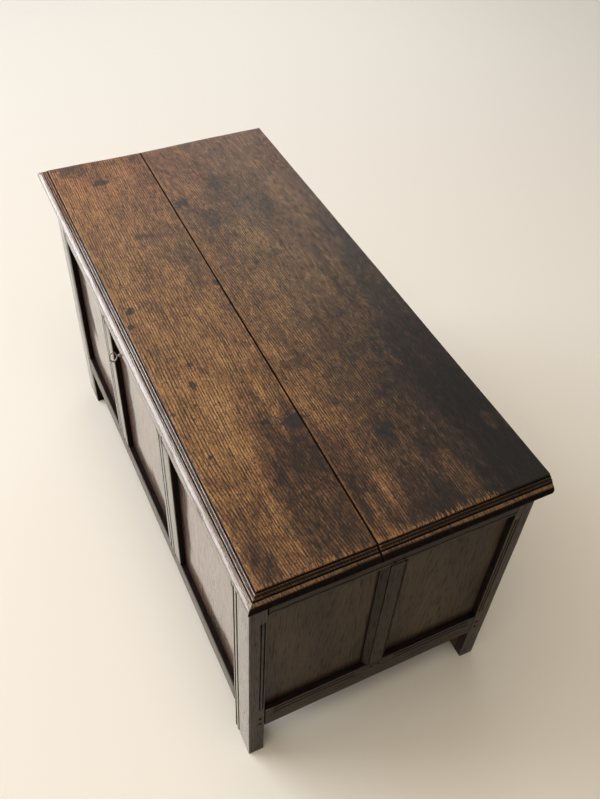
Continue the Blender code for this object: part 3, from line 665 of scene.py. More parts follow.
@dataclass(frozen=True)
class OakFinish:
    """Old oak with its figure, wax, wear along the arrises, soiling in its joints and grooves, and painted
    shade with soiling in its reveals, panel corners and under the lid.
    """

    slot: str
    line: Triple
    bare: Triple
    deep: Triple = (0.018, 0.011, 0.006)
    pale: Triple = (0.046, 0.028, 0.015)
    # The darkest colour: soiling, and painted shade in the reveals, panel corners and under the lid.
    grime_and_shade: Triple = (0.006, 0.004, 0.003)
    dry: Triple = (0.115, 0.070, 0.040)
    dry_line: Triple = (0.050, 0.029, 0.016)
    line_share: float = 0.55
    pore_share: float = 0.75

    wander: Strands = Strands(9.0, 1.6, 3.1, 2.0)
    ripple: Strands = Strands(90.0, 16.0, 9.3)
    breaks: Strands = Strands(240.0, 16.0, 4.4)
    pores: Strands = Strands(430.0, 34.0, 7.7)
    blotches: Strands = Strands(11.0, 3.2, 1.3)
    fibres: Strands = Strands(150.0, 5.0, 5.9, 2.0)
    sweep_from: float = 0.25
    sweep_to: float = 1.25
    early_wood: Fade = Fade(0.46, 0.20)
    ring_edge: Fade = Fade(0.88, 1.0)
    unbroken: Fade = Fade(0.38, 0.54, 0.45, 1.0)
    year_share: Pair = (0.3, 0.7)
    open_pore: Fade = Fade(0.50, 0.66)
    early_pores: Pair = (0.4, 0.6)
    paleness: Fade = Fade(0.34, 0.68)
    fibre_shade: Pair = (0.5, 0.75)

    roughness: float = 0.30
    rough_spread: float = 0.22
    rough_pores: float = 0.16
    rough_dirt: float = 0.32
    dry_roughness: float = 0.82
    polish_smooths: float = 0.24
    wax: float = 1.0
    wax_roughness: float = 0.14
    specular: float = 0.5
    end_facing: Fade = Fade(0.35, 0.60)
    end_dulling: float = 0.22
    dull_share: float = 0.45
    dirt_dulling: float = 0.85
    pore_dulling: float = 0.18
    handled: float = 0.0

    wear_reach: float = 0.0042
    wear_ragged: float = 1.2
    wear_share: float = 0.75
    dirt_fibre: Pair = (0.5, 0.65)
    # How far a panel darkens at its foot and at its rim, and how strongly: painted shade in the recess, with
    # soiling.
    corner_reach: float = 0.034
    corner_dirt_and_shade: float = 0.85
    rim_reach: float = 0.008
    rim_dirt_and_shade: float = 0.9
    # How dark the reveals behind the outer faces become: painted shade, with soiling.
    reveal_dirt_and_shade: float = 0.95
    end_dirt: Fade = Fade(0.0022, 0.0004, 0.0, 0.8)
    quirk_dirt: Fade = Fade(0.0013, 0.0006, 0.0, 0.95)
    groove_reach: float = 0.0024
    groove_dirt: float = 0.97
    groove_rim: Pair = (1.1, 0.7)
    groove_back: Pair = (2.0, 1.5)
    groove_fade: float = 0.004
    upward: Fade = Fade(0.60, 0.85)
    # Where the painted shadow under the lid begins, how far down it reaches and how dark it is.
    lid_low: float = 0.5965
    lid_reach: float = 0.006
    lid_shade: float = 0.80
    dry_top: bool = True
    dry_fade: float = 0.0012
    relief: float = 0.0005
    relief_strength: float = 0.8
    line_dip: float = 0.45
    pore_dip: float = 0.8
    fibre_rise: float = 0.5

    def figure(self, bench: NodeBench, stock: Stock) -> Figure:
        """Draws the growth rings, pores and blotches of a piece.

        Args:
            bench: The material being built.
            stock: The piece.

        Returns:
            The figure's sockets.
        """
        place = bench.place()
        local = bench.split(bench.vector("SUBTRACT", place, stock.block.centre))
        width, depth, along = (local[axis.value] for axis in stock.runs)
        growth = stock.growth

        def drawn(strands: Strands) -> Socket:
            """Gives a random field that is drawn out along the grain."""
            spread = bench.join(bench.line(width, strands.across, stock.seed + strands.offset),
                                bench.times(depth, strands.across), bench.times(along, strands.along))
            return bench.noise(spread, strands.detail)

        wander = bench.plus(bench.line(drawn(self.wander), growth.wander * 2, -growth.wander),
                            bench.line(drawn(self.ripple), growth.ripple * 2, -growth.ripple))
        reach = stock.block.size[stock.grain.value] / 2
        bend = bench.math("POWER", bench.step(along, self.sweep_from * reach, self.sweep_to * reach), 2.0)
        wander = bench.line(bend, growth.sweep, wander)
        offsets = [bench.plus(bench.plus(run, bench.line(along, drift, -pith)), wander)
                   for run, pith, drift in zip((width, depth), growth.pith, growth.drift)]
        rings = bench.math("DIVIDE", bench.vector("LENGTH", bench.join(*offsets, 0.0)), growth.spacing)
        share = bench.math("FRACT", rings)
        year = bench.node("ShaderNodeTexWhiteNoise", {"W": bench.math("FLOOR", rings)},
                          noise_dimensions="1D").outputs[0]
        early = bench.most(bench.fade(share, self.early_wood), bench.fade(share, self.ring_edge))
        line = bench.times(early, bench.line(year, *self.year_share),
                           bench.fade(drawn(self.breaks), self.unbroken))
        pore = bench.times(bench.fade(drawn(self.pores), self.open_pore), bench.line(early, *self.early_pores))
        world = bench.split(place)
        gaps = [bench.less(stock.block.size[axis.value] / 2, bench.math("ABSOLUTE", local[axis.value]))
                for axis in stock.runs]
        behind = bench.least(*(bench.line(world[axis.value], -side, side * stock.block.bound(axis, side))
                               for axis, side in stock.outer))
        return Figure(bench, stock, place, world, gaps, behind, line, pore, drawn(self.blotches),
                      drawn(self.fibres))

    def tone(self, figure: Figure) -> Socket:
        """Gives the colour of the wood between its dark lines."""
        bench = figure.bench
        return bench.mix(bench.fade(figure.blotch, self.paleness), rgba(self.deep), rgba(self.pale))

    def wear(self, figure: Figure) -> Socket:
        """Gives how far the arrises along the grain are rubbed bare.

        Args:
            figure: The piece's wood figure.

        Returns:
            The share of wear.
        """
        bench, gaps = figure.bench, figure.gaps
        ragged = self.wear_ragged * self.wear_reach
        edge = bench.less(bench.most(gaps[0], gaps[1]), bench.line(figure.blotch, -2 * ragged, ragged))
        return bench.times(bench.step(edge, self.wear_reach, 0.0), self.wear_share)

    def dirt_and_shade(self, figure: Figure) -> Socket:
        """Gives how much a piece darkens: soiling in its joints and grooves, painted shade with soiling in its
        reveals and panel corners, and a painted shadow under the lid.

        Args:
            figure: The piece's wood figure.

        Returns:
            The share of soiling and painted shade.
        """
        bench, stock, gaps = figure.bench, figure.stock, figure.gaps
        up = figure.world[Axis.Z.value]
        if stock.rebate:
            # A panel darkens around its rim and towards its foot, where the frame stands over it: painted shade
            # in the recess, with soiling.
            low = stock.block.bound(Axis.Z, -1) + stock.rebate
            rim = bench.step(bench.least(gaps[0], gaps[2]), stock.rebate + self.rim_reach, stock.rebate,
                             0.0, self.rim_dirt_and_shade)
            foot = bench.step(up, low + self.corner_reach, low, 0.0, self.corner_dirt_and_shade)
            return bench.times(bench.most(rim, foot), bench.line(figure.fibre, *self.dirt_fibre))
        # Places a few millimetres behind the outer faces, in the reveals, darken: painted shade there, with
        # some soiling.
        shares = [bench.step(figure.depth, *stock.reveal, 0.0, self.reveal_dirt_and_shade),
                  bench.fade(gaps[2], self.end_dirt)]
        if stock.quirk:
            shares.append(bench.fade(bench.apart(gaps[0], stock.quirk), self.quirk_dirt))
        shares += [self.scored(figure, groove) for groove in stock.grooves]
        share = bench.most(*shares)
        if stock.block.bound(Axis.Z, 1) < self.lid_low:
            return share
        # Outer faces just below the lid darken, though not faces that look up: a painted shadow of the lid's
        # overhang.
        lid_shadow = bench.step(up, self.lid_low - self.lid_reach, self.lid_low, 0.0, self.lid_shade)
        return bench.times(bench.most(share, lid_shadow), bench.rest(self.level(bench)))

    def level(self, bench: NodeBench) -> Socket:
        """Gives whether a place faces up."""
        return bench.fade(bench.facing(Axis.Z), self.upward)

    def scored(self, figure: Figure, groove: Groove) -> Socket:
        """Gives how much dirt a scratched groove holds.

        Args:
            figure: The piece's wood figure.
            groove: The groove.

        Returns:
            The share of dirt.
        """
        bench, stock = figure.bench, figure.stock
        reach = min(groove.width / 2, self.groove_reach)
        off = bench.apart(figure.world[groove.across.value], groove.place)
        behind = bench.apart(figure.world[groove.face.value], stock.block.bound(groove.face, groove.side))
        share = bench.times(bench.step(off, *(rim * reach for rim in self.groove_rim), 0.0, self.groove_dirt),
                            bench.step(behind, *(back * groove.width for back in self.groove_back)))
        if groove.span:
            start, end = groove.span
            half = (end - start) / 2
            off = bench.apart(figure.world[stock.grain.value], (start + end) / 2)
            share = bench.times(share, bench.step(off, half, half - self.groove_fade))
        return share

    def dress(self, name: str, stock: Stock) -> bpy.types.Material:
        """Makes the finish for one piece.

        Args:
            name: The material's name.
            stock: The piece.

        Returns:
            The material.
        """
        bench = NodeBench.material(name)
        figure = self.figure(bench, stock)
        dirt_and_shade = self.dirt_and_shade(figure)
        inside = bench.step(figure.depth, stock.inside_from - self.dry_fade, stock.inside_from)
        if self.dry_top and stock.block.bound(Axis.Z, 1) > self.lid_low:
            inside = bench.most(inside, self.level(bench))

        shade = bench.line(figure.fibre, *self.fibre_shade)
        colour = bench.mix(1.0, self.tone(figure), bench.join(shade, shade, shade), "MULTIPLY")
        colour = bench.mix(bench.times(figure.line, self.line_share), colour, rgba(self.line))
        colour = bench.mix(bench.times(figure.pore, self.pore_share), colour, rgba(self.line))
        colour = bench.mix(self.wear(figure), colour, rgba(self.bare))
        # The darkest colour covers soiling, and also painted shade in the reveals, panel corners and under the
        # lid.
        colour = self.marks(figure, bench.mix(dirt_and_shade, colour, rgba(self.grime_and_shade)))
        raw = bench.mix(bench.most(figure.line, figure.pore), rgba(self.dry), rgba(self.dry_line))
        bench.feed(bench.inputs()["Base Color"], bench.mix(inside, colour, raw))

        height = bench.line(figure.line, -self.line_dip, bench.times(figure.pore, -self.pore_dip))
        height = bench.line(figure.fibre, self.fibre_rise, height)
        bump = bench.node("ShaderNodeBump", {"Height": height, "Distance": self.relief,
                                             "Strength": self.relief_strength})
        bench.feed(bench.inputs()["Normal"], bump.outputs[0])
        self.shine(figure, dirt_and_shade, inside)
        return bench.owner

    def shine(self, figure: Figure, dirt_and_shade: Socket, inside: Socket) -> None:
        """Sets the wax and the roughness of a piece.

        Args:
            figure: The piece's wood figure.
            dirt_and_shade: The share of soiling and painted shade.
            inside: The share of dry wood.
        """
        bench = figure.bench
        inputs = bench.inputs()
        ends = bench.fade(bench.math("ABSOLUTE", bench.facing(Axis.X)), self.end_facing)
        dull = bench.most(ends, inside)
        polish = self.polish(figure)
        rough = bench.line(figure.blotch, self.rough_spread, self.roughness - self.rough_spread / 2)
        rough = bench.line(figure.pore, self.rough_pores, rough)
        rough = bench.line(dirt_and_shade, self.rough_dirt, rough)
        rough = bench.line(dull, self.end_dulling, rough)
        rough = bench.most(rough, bench.times(inside, self.dry_roughness))
        bench.feed(inputs["Roughness"], bench.line(polish, -self.polish_smooths, rough))
        clean = bench.line(figure.pore, -self.pore_dulling, bench.line(dirt_and_shade, -self.dirt_dulling, 1.0))
        waxed = bench.most(bench.line(dull, -self.wax, self.wax), polish)
        bench.feed(inputs["Coat Weight"], bench.times(waxed, clean))
        inputs["Coat Roughness"].default_value = self.wax_roughness
        gloss = bench.times(self.sheen(figure), bench.line(dull, -self.dull_share, 1.0))
        if self.handled:
            gloss = bench.most(gloss, bench.times(polish, self.handled))
        bench.feed(inputs["Specular IOR Level"], bench.times(clean, gloss))

    def marks(self, figure: Figure, colour: Socket) -> Socket:
        """Gives the colour with this finish's own stains, of which plain oak has none."""
        return colour

    def polish(self, figure: Figure) -> Feed:
        """Gives how far hands have polished a place, which on plain oak is nowhere."""
        return 0.0

    def sheen(self, figure: Figure) -> Feed:
        """Gives the shine of the bare wood, which on plain oak is even."""
        return self.specular


@dataclass(frozen=True)
class LidForm:
    """The lid's size and place, the slanting joint of its boards and its moulded edge."""

    half: float = 0.5695
    front: float = -0.2550
    back: float = 0.2535
    low: float = 0.6073
    thickness: float = 0.027
    joint_left: float = -0.0315
    joint_right: float = -0.0485
    nose_height: float = 0.0165
    nose_depth: float = 0.011
    reed_width: float = 0.0025
    quirk_width: float = 0.0015
    quirk_depths: tuple[float, ...] = (0.0014, 0.0004, 0.0007)

    @property
    def slope(self) -> float:
        """Gives how far the joint slants for each metre along the lid."""
        return (self.joint_right - self.joint_left) / (2 * self.half)

    @property
    def quirk_insets(self) -> list[float]:
        """Lists how far in from the nose each quirk of the moulding lies."""
        return [self.nose_depth + self.quirk_width / 2 + (self.quirk_width + self.reed_width) * number
                for number in range(len(self.quirk_depths))]

    @property
    def edge(self) -> float:
        """Gives how far in from the nose the moulding ends."""
        return self.quirk_insets[-1] + self.quirk_width / 2

    def joint_y(self, x: float) -> float:
        """Gives the slanting line where the two boards meet."""
        return self.joint_left + self.slope * (x + self.half)


@dataclass(frozen=True)
class Patch:
    """A stain or a zone of the lid: its middle, half length along the lid, half width and strength."""

    x: float
    y: float
    length: float
    width: float
    share: float = 0.85


@dataclass(frozen=True)
class Ring:
    """Part of a ring that a wet cup left: its middle, radius and the side that shows."""

    x: float
    y: float
    radius: float
    side: Pair


@dataclass(frozen=True)
class Cloud:
    """A random field over the lid's top: its scales along and across, its shift and its strength."""

    along: float
    across: float
    shift: float
    lift: float


@dataclass(frozen=True)
class LidFinish(OakFinish):
    """The lid's oak: golden where hands wore it, almost black at the back, with old stains, a paler front nose
    and reeds that are partly a painted highlight, and soiling with painted shade under the nose.
    """

    form: LidForm = LidForm()
    dry_top: bool = False
    handled: float = 0.9

    stops: tuple[tuple[float, Triple], ...] = (
        (0.00, (0.005, 0.004, 0.003)),
        (0.25, (0.040, 0.021, 0.013)),
        (0.48, (0.138, 0.069, 0.033)),
        (0.72, (0.312, 0.165, 0.070)),
        (1.00, (0.480, 0.275, 0.122)),
    )
    middle_tone: float = 0.51
    streaks: Cloud = Cloud(5.0, 34.0, 0.4, 0.45)
    clouds: tuple[Cloud, ...] = (Cloud(15.0, 17.0, 1.9, 0.46), Cloud(55.0, 80.0, 6.1, 0.55),
                                 Cloud(95.0, 430.0, 3.3, 0.75))
    cloud_detail: float = 4.0
    worn_front: Fade = Fade(0.04, -0.24)
    worn_lift: float = 0.17
    dark_back: Fade = Fade(0.04, 0.34, 0.0, -0.37)
    dark_slant: float = 0.34
    # A lighter far end along the front of the lid: painted sheen.
    far_end_painted_sheen: Fade = Fade(-0.15, -0.50, 0.0, 0.12)
    zone_rim: Pair = (1.2, 0.4)
    zone_ragged: float = 1.2
    zones: tuple[Patch, ...] = (
        Patch(0.42, -0.075, 0.21, 0.08, -0.27), Patch(0.47, -0.165, 0.15, 0.07, -0.16),
        Patch(0.53, -0.205, 0.05, 0.035, -0.16),
        Patch(0.52, 0.215, 0.10, 0.055, -0.30), Patch(0.30, 0.215, 0.20, 0.05, -0.16),
        Patch(0.27, -0.165, 0.16, 0.05, 0.08), Patch(-0.05, 0.090, 0.20, 0.08, 0.06),
        Patch(-0.52, -0.170, 0.07, 0.06, -0.18), Patch(-0.30, 0.100, 0.12, 0.06, -0.10),
        Patch(0.46, 0.015, 0.06, 0.018, 0.20), Patch(0.49, 0.125, 0.06, 0.030, 0.24),
        Patch(0.42, 0.230, 0.025, 0.012, 0.30),
    )
    reddened: Fade = Fade(-0.15, -0.56, 0.0, 0.55)
    red: Triple = (1.12, 0.80, 0.78)
    cooled: Fade = Fade(-0.05, 0.10)
    cool: Triple = (0.86, 0.97, 1.06)
    moulding: Triple = (0.046, 0.030, 0.019)
    moulding_share: Pair = (0.55, 0.30)
    reed_line: Pair = (0.0007, -0.0003)
    # The paler worn colour of the reeds along the front, which is partly a painted highlight, and where it
    # shows.
    reed_worn_highlight: Triple = (0.140, 0.088, 0.064)
    reed_highlight_fade: Fade = Fade(-0.42, -0.15, 0.1, 0.75)

    nose_line: Pair = (0.0002, -0.0010)
    # The paler worn colour over the front nose, which is partly a painted highlight, and where it shows.
    nose_worn_highlight: Triple = (0.165, 0.108, 0.084)
    highlight_height: Fade = Fade(0.0050, 0.0068, 0.0, 0.70)
    highlight_ragged: Fade = Fade(0.62, 0.50, 0.55, 1.0)
    polish_nose: Pair = (0.0008, 0.0002)
    polish_edge: Pair = (0.0010, -0.0002)
    polish_height: Fade = Fade(0.0042, 0.0062)
    polish_length: Fade = Fade(-0.42, -0.22)
    dull_end: float = 0.15
    dull_length: Pair = (0.45, -0.30)

    strand_scale: Triple = (24.0, 420.0, 24.0)
    strand_breaks: Fade = Fade(0.34, 0.60, 0.15, 1.0)
    end_bare: Fade = Fade(0.0132, 0.0152, 0.0, 0.62)
    front_bare: Fade = Fade(0.0062, 0.0045)
    arris_inset: float = 0.0235
    arris_ragged: float = 0.055
    arris_bare: Fade = Fade(0.004, -0.006)
    arris_pores: Fade = Fade(0.6, 0.2)
    arris_length: Fade = Fade(0.185, 0.150)
    joint_bare: Fade = Fade(0.0060, 0.0020)
    joint_ends: Fade = Fade(0.55, 0.05, 0.0, 0.7)
    bare_blotch: Fade = Fade(0.38, 0.60)
    # Where the lower part of the nose darkens, and how much higher it reaches on the ends: soiling with painted
    # shade.
    under_line: Pair = (0.0006, -0.0002)
    under_nose_dirt_and_shade: Fade = Fade(0.0032, 0.0018, 0.0, 0.96)
    under_end: float = 0.0120
    quirk_shares: tuple[float, ...] = (0.95, 0.50, 0.95)
    quirk_reach: float = 0.0011
    joint_dirt: Fade = Fade(0.0022, 0.0012, 0.0, 0.97)

    stain: Triple = (0.010, 0.010, 0.013)
    ragged_scale: Triple = (95.0, 95.0, 95.0)
    speck_scale: Triple = (105.0, 147.0, 0.0)
    specks: Fade = Fade(0.655, 0.715, 0.0, 0.80)
    fleck_scale: Triple = (240.0, 560.0, 0.0)
    flecks: Fade = Fade(0.54, 0.64, 0.0, 0.78)
    stain_rim: Pair = (2.75, 2.30)
    stain_ragged: float = 3.0
    stains: tuple[Patch, ...] = (
        Patch(-0.463, -0.143, 0.010, 0.015), Patch(-0.527, -0.105, 0.010, 0.008, 0.6),
        Patch(-0.334, -0.015, 0.012, 0.015), Patch(-0.364, 0.076, 0.014, 0.009, 0.7),
        Patch(-0.0525, -0.2155, 0.013, 0.007), Patch(-0.0137, -0.2245, 0.009, 0.005),
        Patch(-0.254, -0.127, 0.008, 0.013, 0.6), Patch(0.161, -0.177, 0.010, 0.006),
        Patch(0.116, -0.165, 0.006, 0.005, 0.7), Patch(-0.097, 0.049, 0.006, 0.005),
        Patch(-0.110, 0.098, 0.010, 0.010, 0.6), Patch(-0.071, -0.043, 0.008, 0.005),
        Patch(0.293, -0.057, 0.018, 0.016), Patch(0.280, -0.0986, 0.006, 0.006),
        Patch(0.223, 0.045, 0.010, 0.022, 0.55), Patch(0.178, -0.002, 0.014, 0.016, 0.6),
        Patch(0.208, 0.0945, 0.008, 0.006, 0.7), Patch(0.367, 0.065, 0.018, 0.014, 0.6),
        Patch(-0.26, 0.02, 0.030, 0.022, 0.5), Patch(-0.37, 0.2, 0.018, 0.005, 0.6),
        Patch(-0.19, 0.215, 0.016, 0.010, 0.6), Patch(-0.535, -0.195, 0.030, 0.030, 0.6),
        Patch(0.312, -0.205, 0.004, 0.004, 0.8), Patch(0.21, -0.228, 0.004, 0.004, 0.7),
    )
    ring_width: Fade = Fade(0.0016, 0.0006)
    ring_ends: Pair = (0.3, 0.8)
    ring_ragged: Fade = Fade(0.40, 0.60, 0.2, 0.8)
    rings: tuple[Ring, ...] = (
        Ring(0.135, 0.128, 0.032, (0.2, 1.0)), Ring(0.086, 0.088, 0.027, (-1.0, 0.1)),
        Ring(0.388, 0.058, 0.022, (-0.7, -0.7)),
    )

    @staticmethod
    def flat(figure: Figure) -> Socket:
        """Gives a point's place on the lid's top."""
        return figure.bench.vector("MULTIPLY", figure.place, (1.0, 1.0, 0.0))

    @staticmethod
    def out_from(bench: NodeBench, flat: Socket, patch: Patch) -> Socket:
        """Gives how far out from a patch's middle a place lies, in half widths."""
        off = bench.vector("SUBTRACT", flat, (patch.x, patch.y, 0.0))
        return bench.vector("LENGTH", bench.vector("MULTIPLY", off, (1 / patch.length, 1 / patch.width, 0.0)))

    @staticmethod
    def within(bench: NodeBench, inset: Socket, limit: float, line: Pair) -> Socket:
        """Gives whether a place lies nearer the edge than a limit, between whose two lines it fades."""
        return bench.step(inset, limit + line[0], limit + line[1])

    def inset(self, figure: Figure) -> Sockets:
        """Measures a place from the moulded edges.

        Args:
            figure: The board's wood figure.

        Returns:
            How far it lies in from them and above the underside, and whether it is at an end.
        """
        bench, (x, y, z) = figure.bench, figure.world
        ends = bench.less(self.form.half, bench.math("ABSOLUTE", x))
        front = bench.less(y, self.form.front)
        return bench.least(ends, front), bench.less(z, self.form.low), bench.math("LESS_THAN", ends, front)

    def joint(self, figure: Figure) -> Socket:
        """Gives how far a place lies from the slanting joint between the boards."""
        bench, (x, y, _) = figure.bench, figure.world
        return bench.apart(y, bench.line(x, self.form.slope, self.form.joint_y(0.0)))

    def tone(self, figure: Figure) -> Socket:
        """Gives the colour between the dark lines, from the worn front to the dark back, with a painted sheen
        towards the far end of the front and paler front reeds that are partly a painted highlight.

        Args:
            figure: The board's wood figure.

        Returns:
            The colour.
        """
        bench, (x, y, _) = figure.bench, figure.world

        def drift(cloud: Cloud) -> Socket:
            """Gives a random field of the lid's top, about zero."""
            spread = bench.join(bench.times(x, cloud.along), bench.times(y, cloud.across), cloud.shift)
            return bench.less(bench.noise(spread, self.cloud_detail), 0.5)

        worn, streak = bench.fade(y, self.worn_front), drift(self.streaks)
        value = bench.line(worn, self.worn_lift, self.middle_tone)
        value = bench.plus(value, bench.fade(bench.line(x, self.dark_slant, y), self.dark_back))
        value = bench.line(streak, self.streaks.lift, value)
        for cloud in self.clouds:
            value = bench.line(drift(cloud), cloud.lift, value)
        # Lighter towards the far end along the front: a painted sheen.
        value = bench.plus(value, bench.times(bench.fade(x, self.far_end_painted_sheen), worn))
        flat = self.flat(figure)
        for zone in self.zones:
            far = bench.line(streak, self.zone_ragged, self.out_from(bench, flat, zone))
            value = bench.plus(value, bench.step(far, *self.zone_rim, 0.0, zone.share))
        colour = bench.ramp(value, self.stops)
        colour = bench.mix(bench.fade(x, self.reddened), colour, rgba(self.red), "MULTIPLY")
        colour = bench.mix(bench.fade(y, self.cooled), colour, rgba(self.cool), "MULTIPLY")
        inset, _, end = self.inset(figure)
        reeds = self.within(bench, inset, self.form.edge, self.reed_line)
        dark = bench.times(reeds, bench.line(end, *self.moulding_share))
        colour = bench.mix(dark, colour, rgba(self.moulding))
        # Paler reeds along the front, stronger towards the near end: worn wood that also stands in for their
        # reflection, partly a painted highlight.
        handled = bench.times(bench.fade(x, self.reed_highlight_fade), bench.rest(end))
        return bench.mix(bench.times(reeds, handled), colour, rgba(self.reed_worn_highlight))

    def polish(self, figure: Figure) -> Feed:
        """Gives how far hands have polished a place: the moulded edge along the front.

        Args:
            figure: The board's wood figure.

        Returns:
            The share of polish.
        """
        bench = figure.bench
        inset, height, end = self.inset(figure)
        handled = bench.most(self.within(bench, inset, self.form.nose_depth, self.polish_nose),
                             bench.fade(figure.world[0], self.polish_length))
        return bench.times(handled, self.within(bench, inset, self.form.edge, self.polish_edge),
                           bench.fade(height, self.polish_height), bench.rest(end))

    def sheen(self, figure: Figure) -> Feed:
        """Gives the shine of the lid, which is rubbed away towards its near end."""
        return figure.bench.step(figure.world[0], *self.dull_length, self.dull_end, self.specular)

    def wear(self, figure: Figure) -> Socket:
        """Gives the bare wood on the nose, on the arris of the moulded edge and beside the joint.

        Args:
            figure: The board's wood figure.

        Returns:
            The share of wear.
        """
        bench, form = figure.bench, self.form
        inset, height, end = self.inset(figure)
        strands = bench.noise(bench.vector("MULTIPLY", figure.place, self.strand_scale), 3.0)
        band = bench.plus(bench.times(end, bench.fade(height, self.end_bare)),
                          bench.times(bench.rest(end), bench.fade(height, self.front_bare)))
        nose = bench.times(self.within(bench, inset, form.nose_depth, self.nose_line), band,
                           bench.fade(strands, self.strand_breaks))
        far = bench.line(strands, -self.arris_ragged, bench.less(inset, form.edge - self.arris_inset))
        arris = bench.times(bench.fade(far, self.arris_bare),
                            self.within(bench, inset, form.edge, self.reed_line[::-1]),
                            bench.fade(figure.pore, self.arris_pores),
                            bench.fade(figure.world[1], self.arris_length))
        beside = bench.times(bench.fade(self.joint(figure), self.joint_bare),
                             bench.fade(figure.gaps[2], self.joint_ends))
        rubbed = bench.times(bench.most(arris, beside), bench.fade(figure.blotch, self.bare_blotch))
        return bench.times(bench.most(nose, rubbed), self.wear_share)

    def dirt_and_shade(self, figure: Figure) -> Socket:
        """Gives the soiling in the quirks of the moulding and in the joint, and the soiling with painted shade
        under its nose.

        Args:
            figure: The board's wood figure.

        Returns:
            The share of soiling and painted shade.
        """
        bench = figure.bench
        inset, height, end = self.inset(figure)
        # The lower part of the nose darkens, reaching higher on the ends: soiling with painted shade under the
        # nose.
        under = bench.fade(bench.line(end, -self.under_end, height), self.under_nose_dirt_and_shade)
        shares = [bench.times(self.within(bench, inset, self.form.nose_depth, self.under_line), under),
                  bench.fade(self.joint(figure), self.joint_dirt)]
        for quirk, share in zip(self.form.quirk_insets, self.quirk_shares):
            reach = self.quirk_reach * share
            shares.append(bench.step(bench.apart(inset, quirk), reach, reach / 2, 0.0, share))
        return bench.most(*shares)

    def marks(self, figure: Figure, colour: Socket) -> Socket:
        """Gives the colour with the stains and cup rings of long use, and a paler front nose that is partly a
        painted highlight.

        Args:
            figure: The board's wood figure.
            colour: The colour without them.

        Returns:
            The colour with them.
        """
        bench, flat = figure.bench, self.flat(figure)
        ragged = bench.noise(bench.vector("MULTIPLY", figure.place, self.ragged_scale), 3.0)
        shares = [bench.fade(bench.noise(bench.vector("MULTIPLY", flat, self.speck_scale), 1.0), self.specks),
                  bench.fade(bench.noise(bench.vector("MULTIPLY", flat, self.fleck_scale), 2.0), self.flecks)]
        for stain in self.stains:
            far = bench.line(ragged, self.stain_ragged, self.out_from(bench, flat, stain))
            shares.append(bench.step(far, *self.stain_rim, 0.0, stain.share))
        for ring in self.rings:
            off = bench.vector("SUBTRACT", flat, (ring.x, ring.y, 0.0))
            far = bench.apart(bench.vector("LENGTH", off), ring.radius)
            facing = bench.vector("DOT_PRODUCT", off, (*ring.side, 0.0))
            shares.append(bench.times(bench.fade(far, self.ring_width),
                                      bench.step(facing, *(share * ring.radius for share in self.ring_ends)),
                                      bench.fade(ragged, self.ring_ragged)))
        stained = bench.mix(bench.most(*shares), colour, rgba(self.stain))
        inset, height, end = self.inset(figure)
        # Paler worn wood over the upper nose along the front, which also stands in for the highlight there:
        # partly a painted highlight.
        sheen = bench.times(self.within(bench, inset, self.form.nose_depth, self.nose_line),
                            bench.fade(height, self.highlight_height), bench.rest(end),
                            bench.fade(ragged, self.highlight_ragged))
        return bench.mix(sheen, stained, rgba(self.nose_worn_highlight))


@dataclass(frozen=True)
class IronFinish:
    """Dark wrought iron with hammer marks and a little rust."""

    slot: str = "wrought_iron"
    dark: Triple = (0.020, 0.018, 0.017)
    bright: Triple = (0.085, 0.078, 0.072)
    rust: Triple = (0.060, 0.026, 0.012)
    metallic: float = 0.75
    hammered: Pair = (120.0, 3.0)
    pitted: Pair = (420.0, 2.0)
    rusted: Pair = (38.0, 3.0)
    brightness: Pair = (0.35, 0.75)
    brightened: float = 0.4
    rust_cover: Pair = (0.52, 0.70)
    rust_share: float = 0.7
    rust_rubbed: float = 0.5
    rough_pits: float = 0.3
    roughness: float = 0.42
    smoothed: float = 0.22
    relief: float = 0.0004
    relief_strength: float = 0.7

    def dress(self, name: str, polish: float = 0.0) -> bpy.types.Material:
        """Makes the finish.

        Args:
            name: The material's name.
            polish: How far handling has brightened it.

        Returns:
            The material.
        """
        bench = NodeBench.material(name)
        inputs, place = bench.inputs(), bench.place()
        marks, pits, rust = (bench.noise(bench.vector("MULTIPLY", place, (scale, scale, scale)), detail)
                             for scale, detail in (self.hammered, self.pitted, self.rusted))
        bright = bench.step(marks, *(limit - polish * self.brightened for limit in self.brightness))
        colour = bench.mix(bright, rgba(self.dark), rgba(self.bright))
        rusty = bench.step(rust, *self.rust_cover, 0.0, self.rust_share - polish * self.rust_rubbed)
        bench.feed(inputs["Base Color"], bench.mix(rusty, colour, rgba(self.rust)))
        rough = bench.line(pits, self.rough_pits, self.roughness - polish * self.smoothed)
        bench.feed(inputs["Roughness"], rough)
        bump = bench.node("ShaderNodeBump", {"Height": bench.plus(marks, pits), "Distance": self.relief,
                                             "Strength": self.relief_strength})
        bench.feed(inputs["Normal"], bump.outputs[0])
        inputs["Metallic"].default_value = self.metallic
        return bench.owner


FRAME_OAK = OakFinish("frame_oak", line=(0.008, 0.005, 0.004), bare=(0.110, 0.060, 0.030), wear_share=0.40)
# A darker copy of the frame oak for the end rails and muntins, which stand in shade: painted shade.
SHADED_END_OAK = replace(FRAME_OAK, deep=(0.015, 0.0098, 0.0050), pale=(0.036, 0.024, 0.012), wear_share=0.08,
                  specular=0.30, lid_shade=0.10)
FOOT_OAK = replace(FRAME_OAK, wax=0.35, specular=0.30, roughness=0.40)
# The panel oak's colour is raised and reddened to stand in for the warm light that the front reflects: painted
# light.
LIT_FACE_PANEL_OAK = OakFinish("panel_oak", deep=(0.080, 0.033, 0.023), pale=(0.158, 0.066, 0.047),
                      line=(0.022, 0.012, 0.009), bare=(0.120, 0.070, 0.040), wear_share=0.0,
                      corner_reach=0.006, rim_reach=0.003, wax_roughness=0.09, specular=0.8)
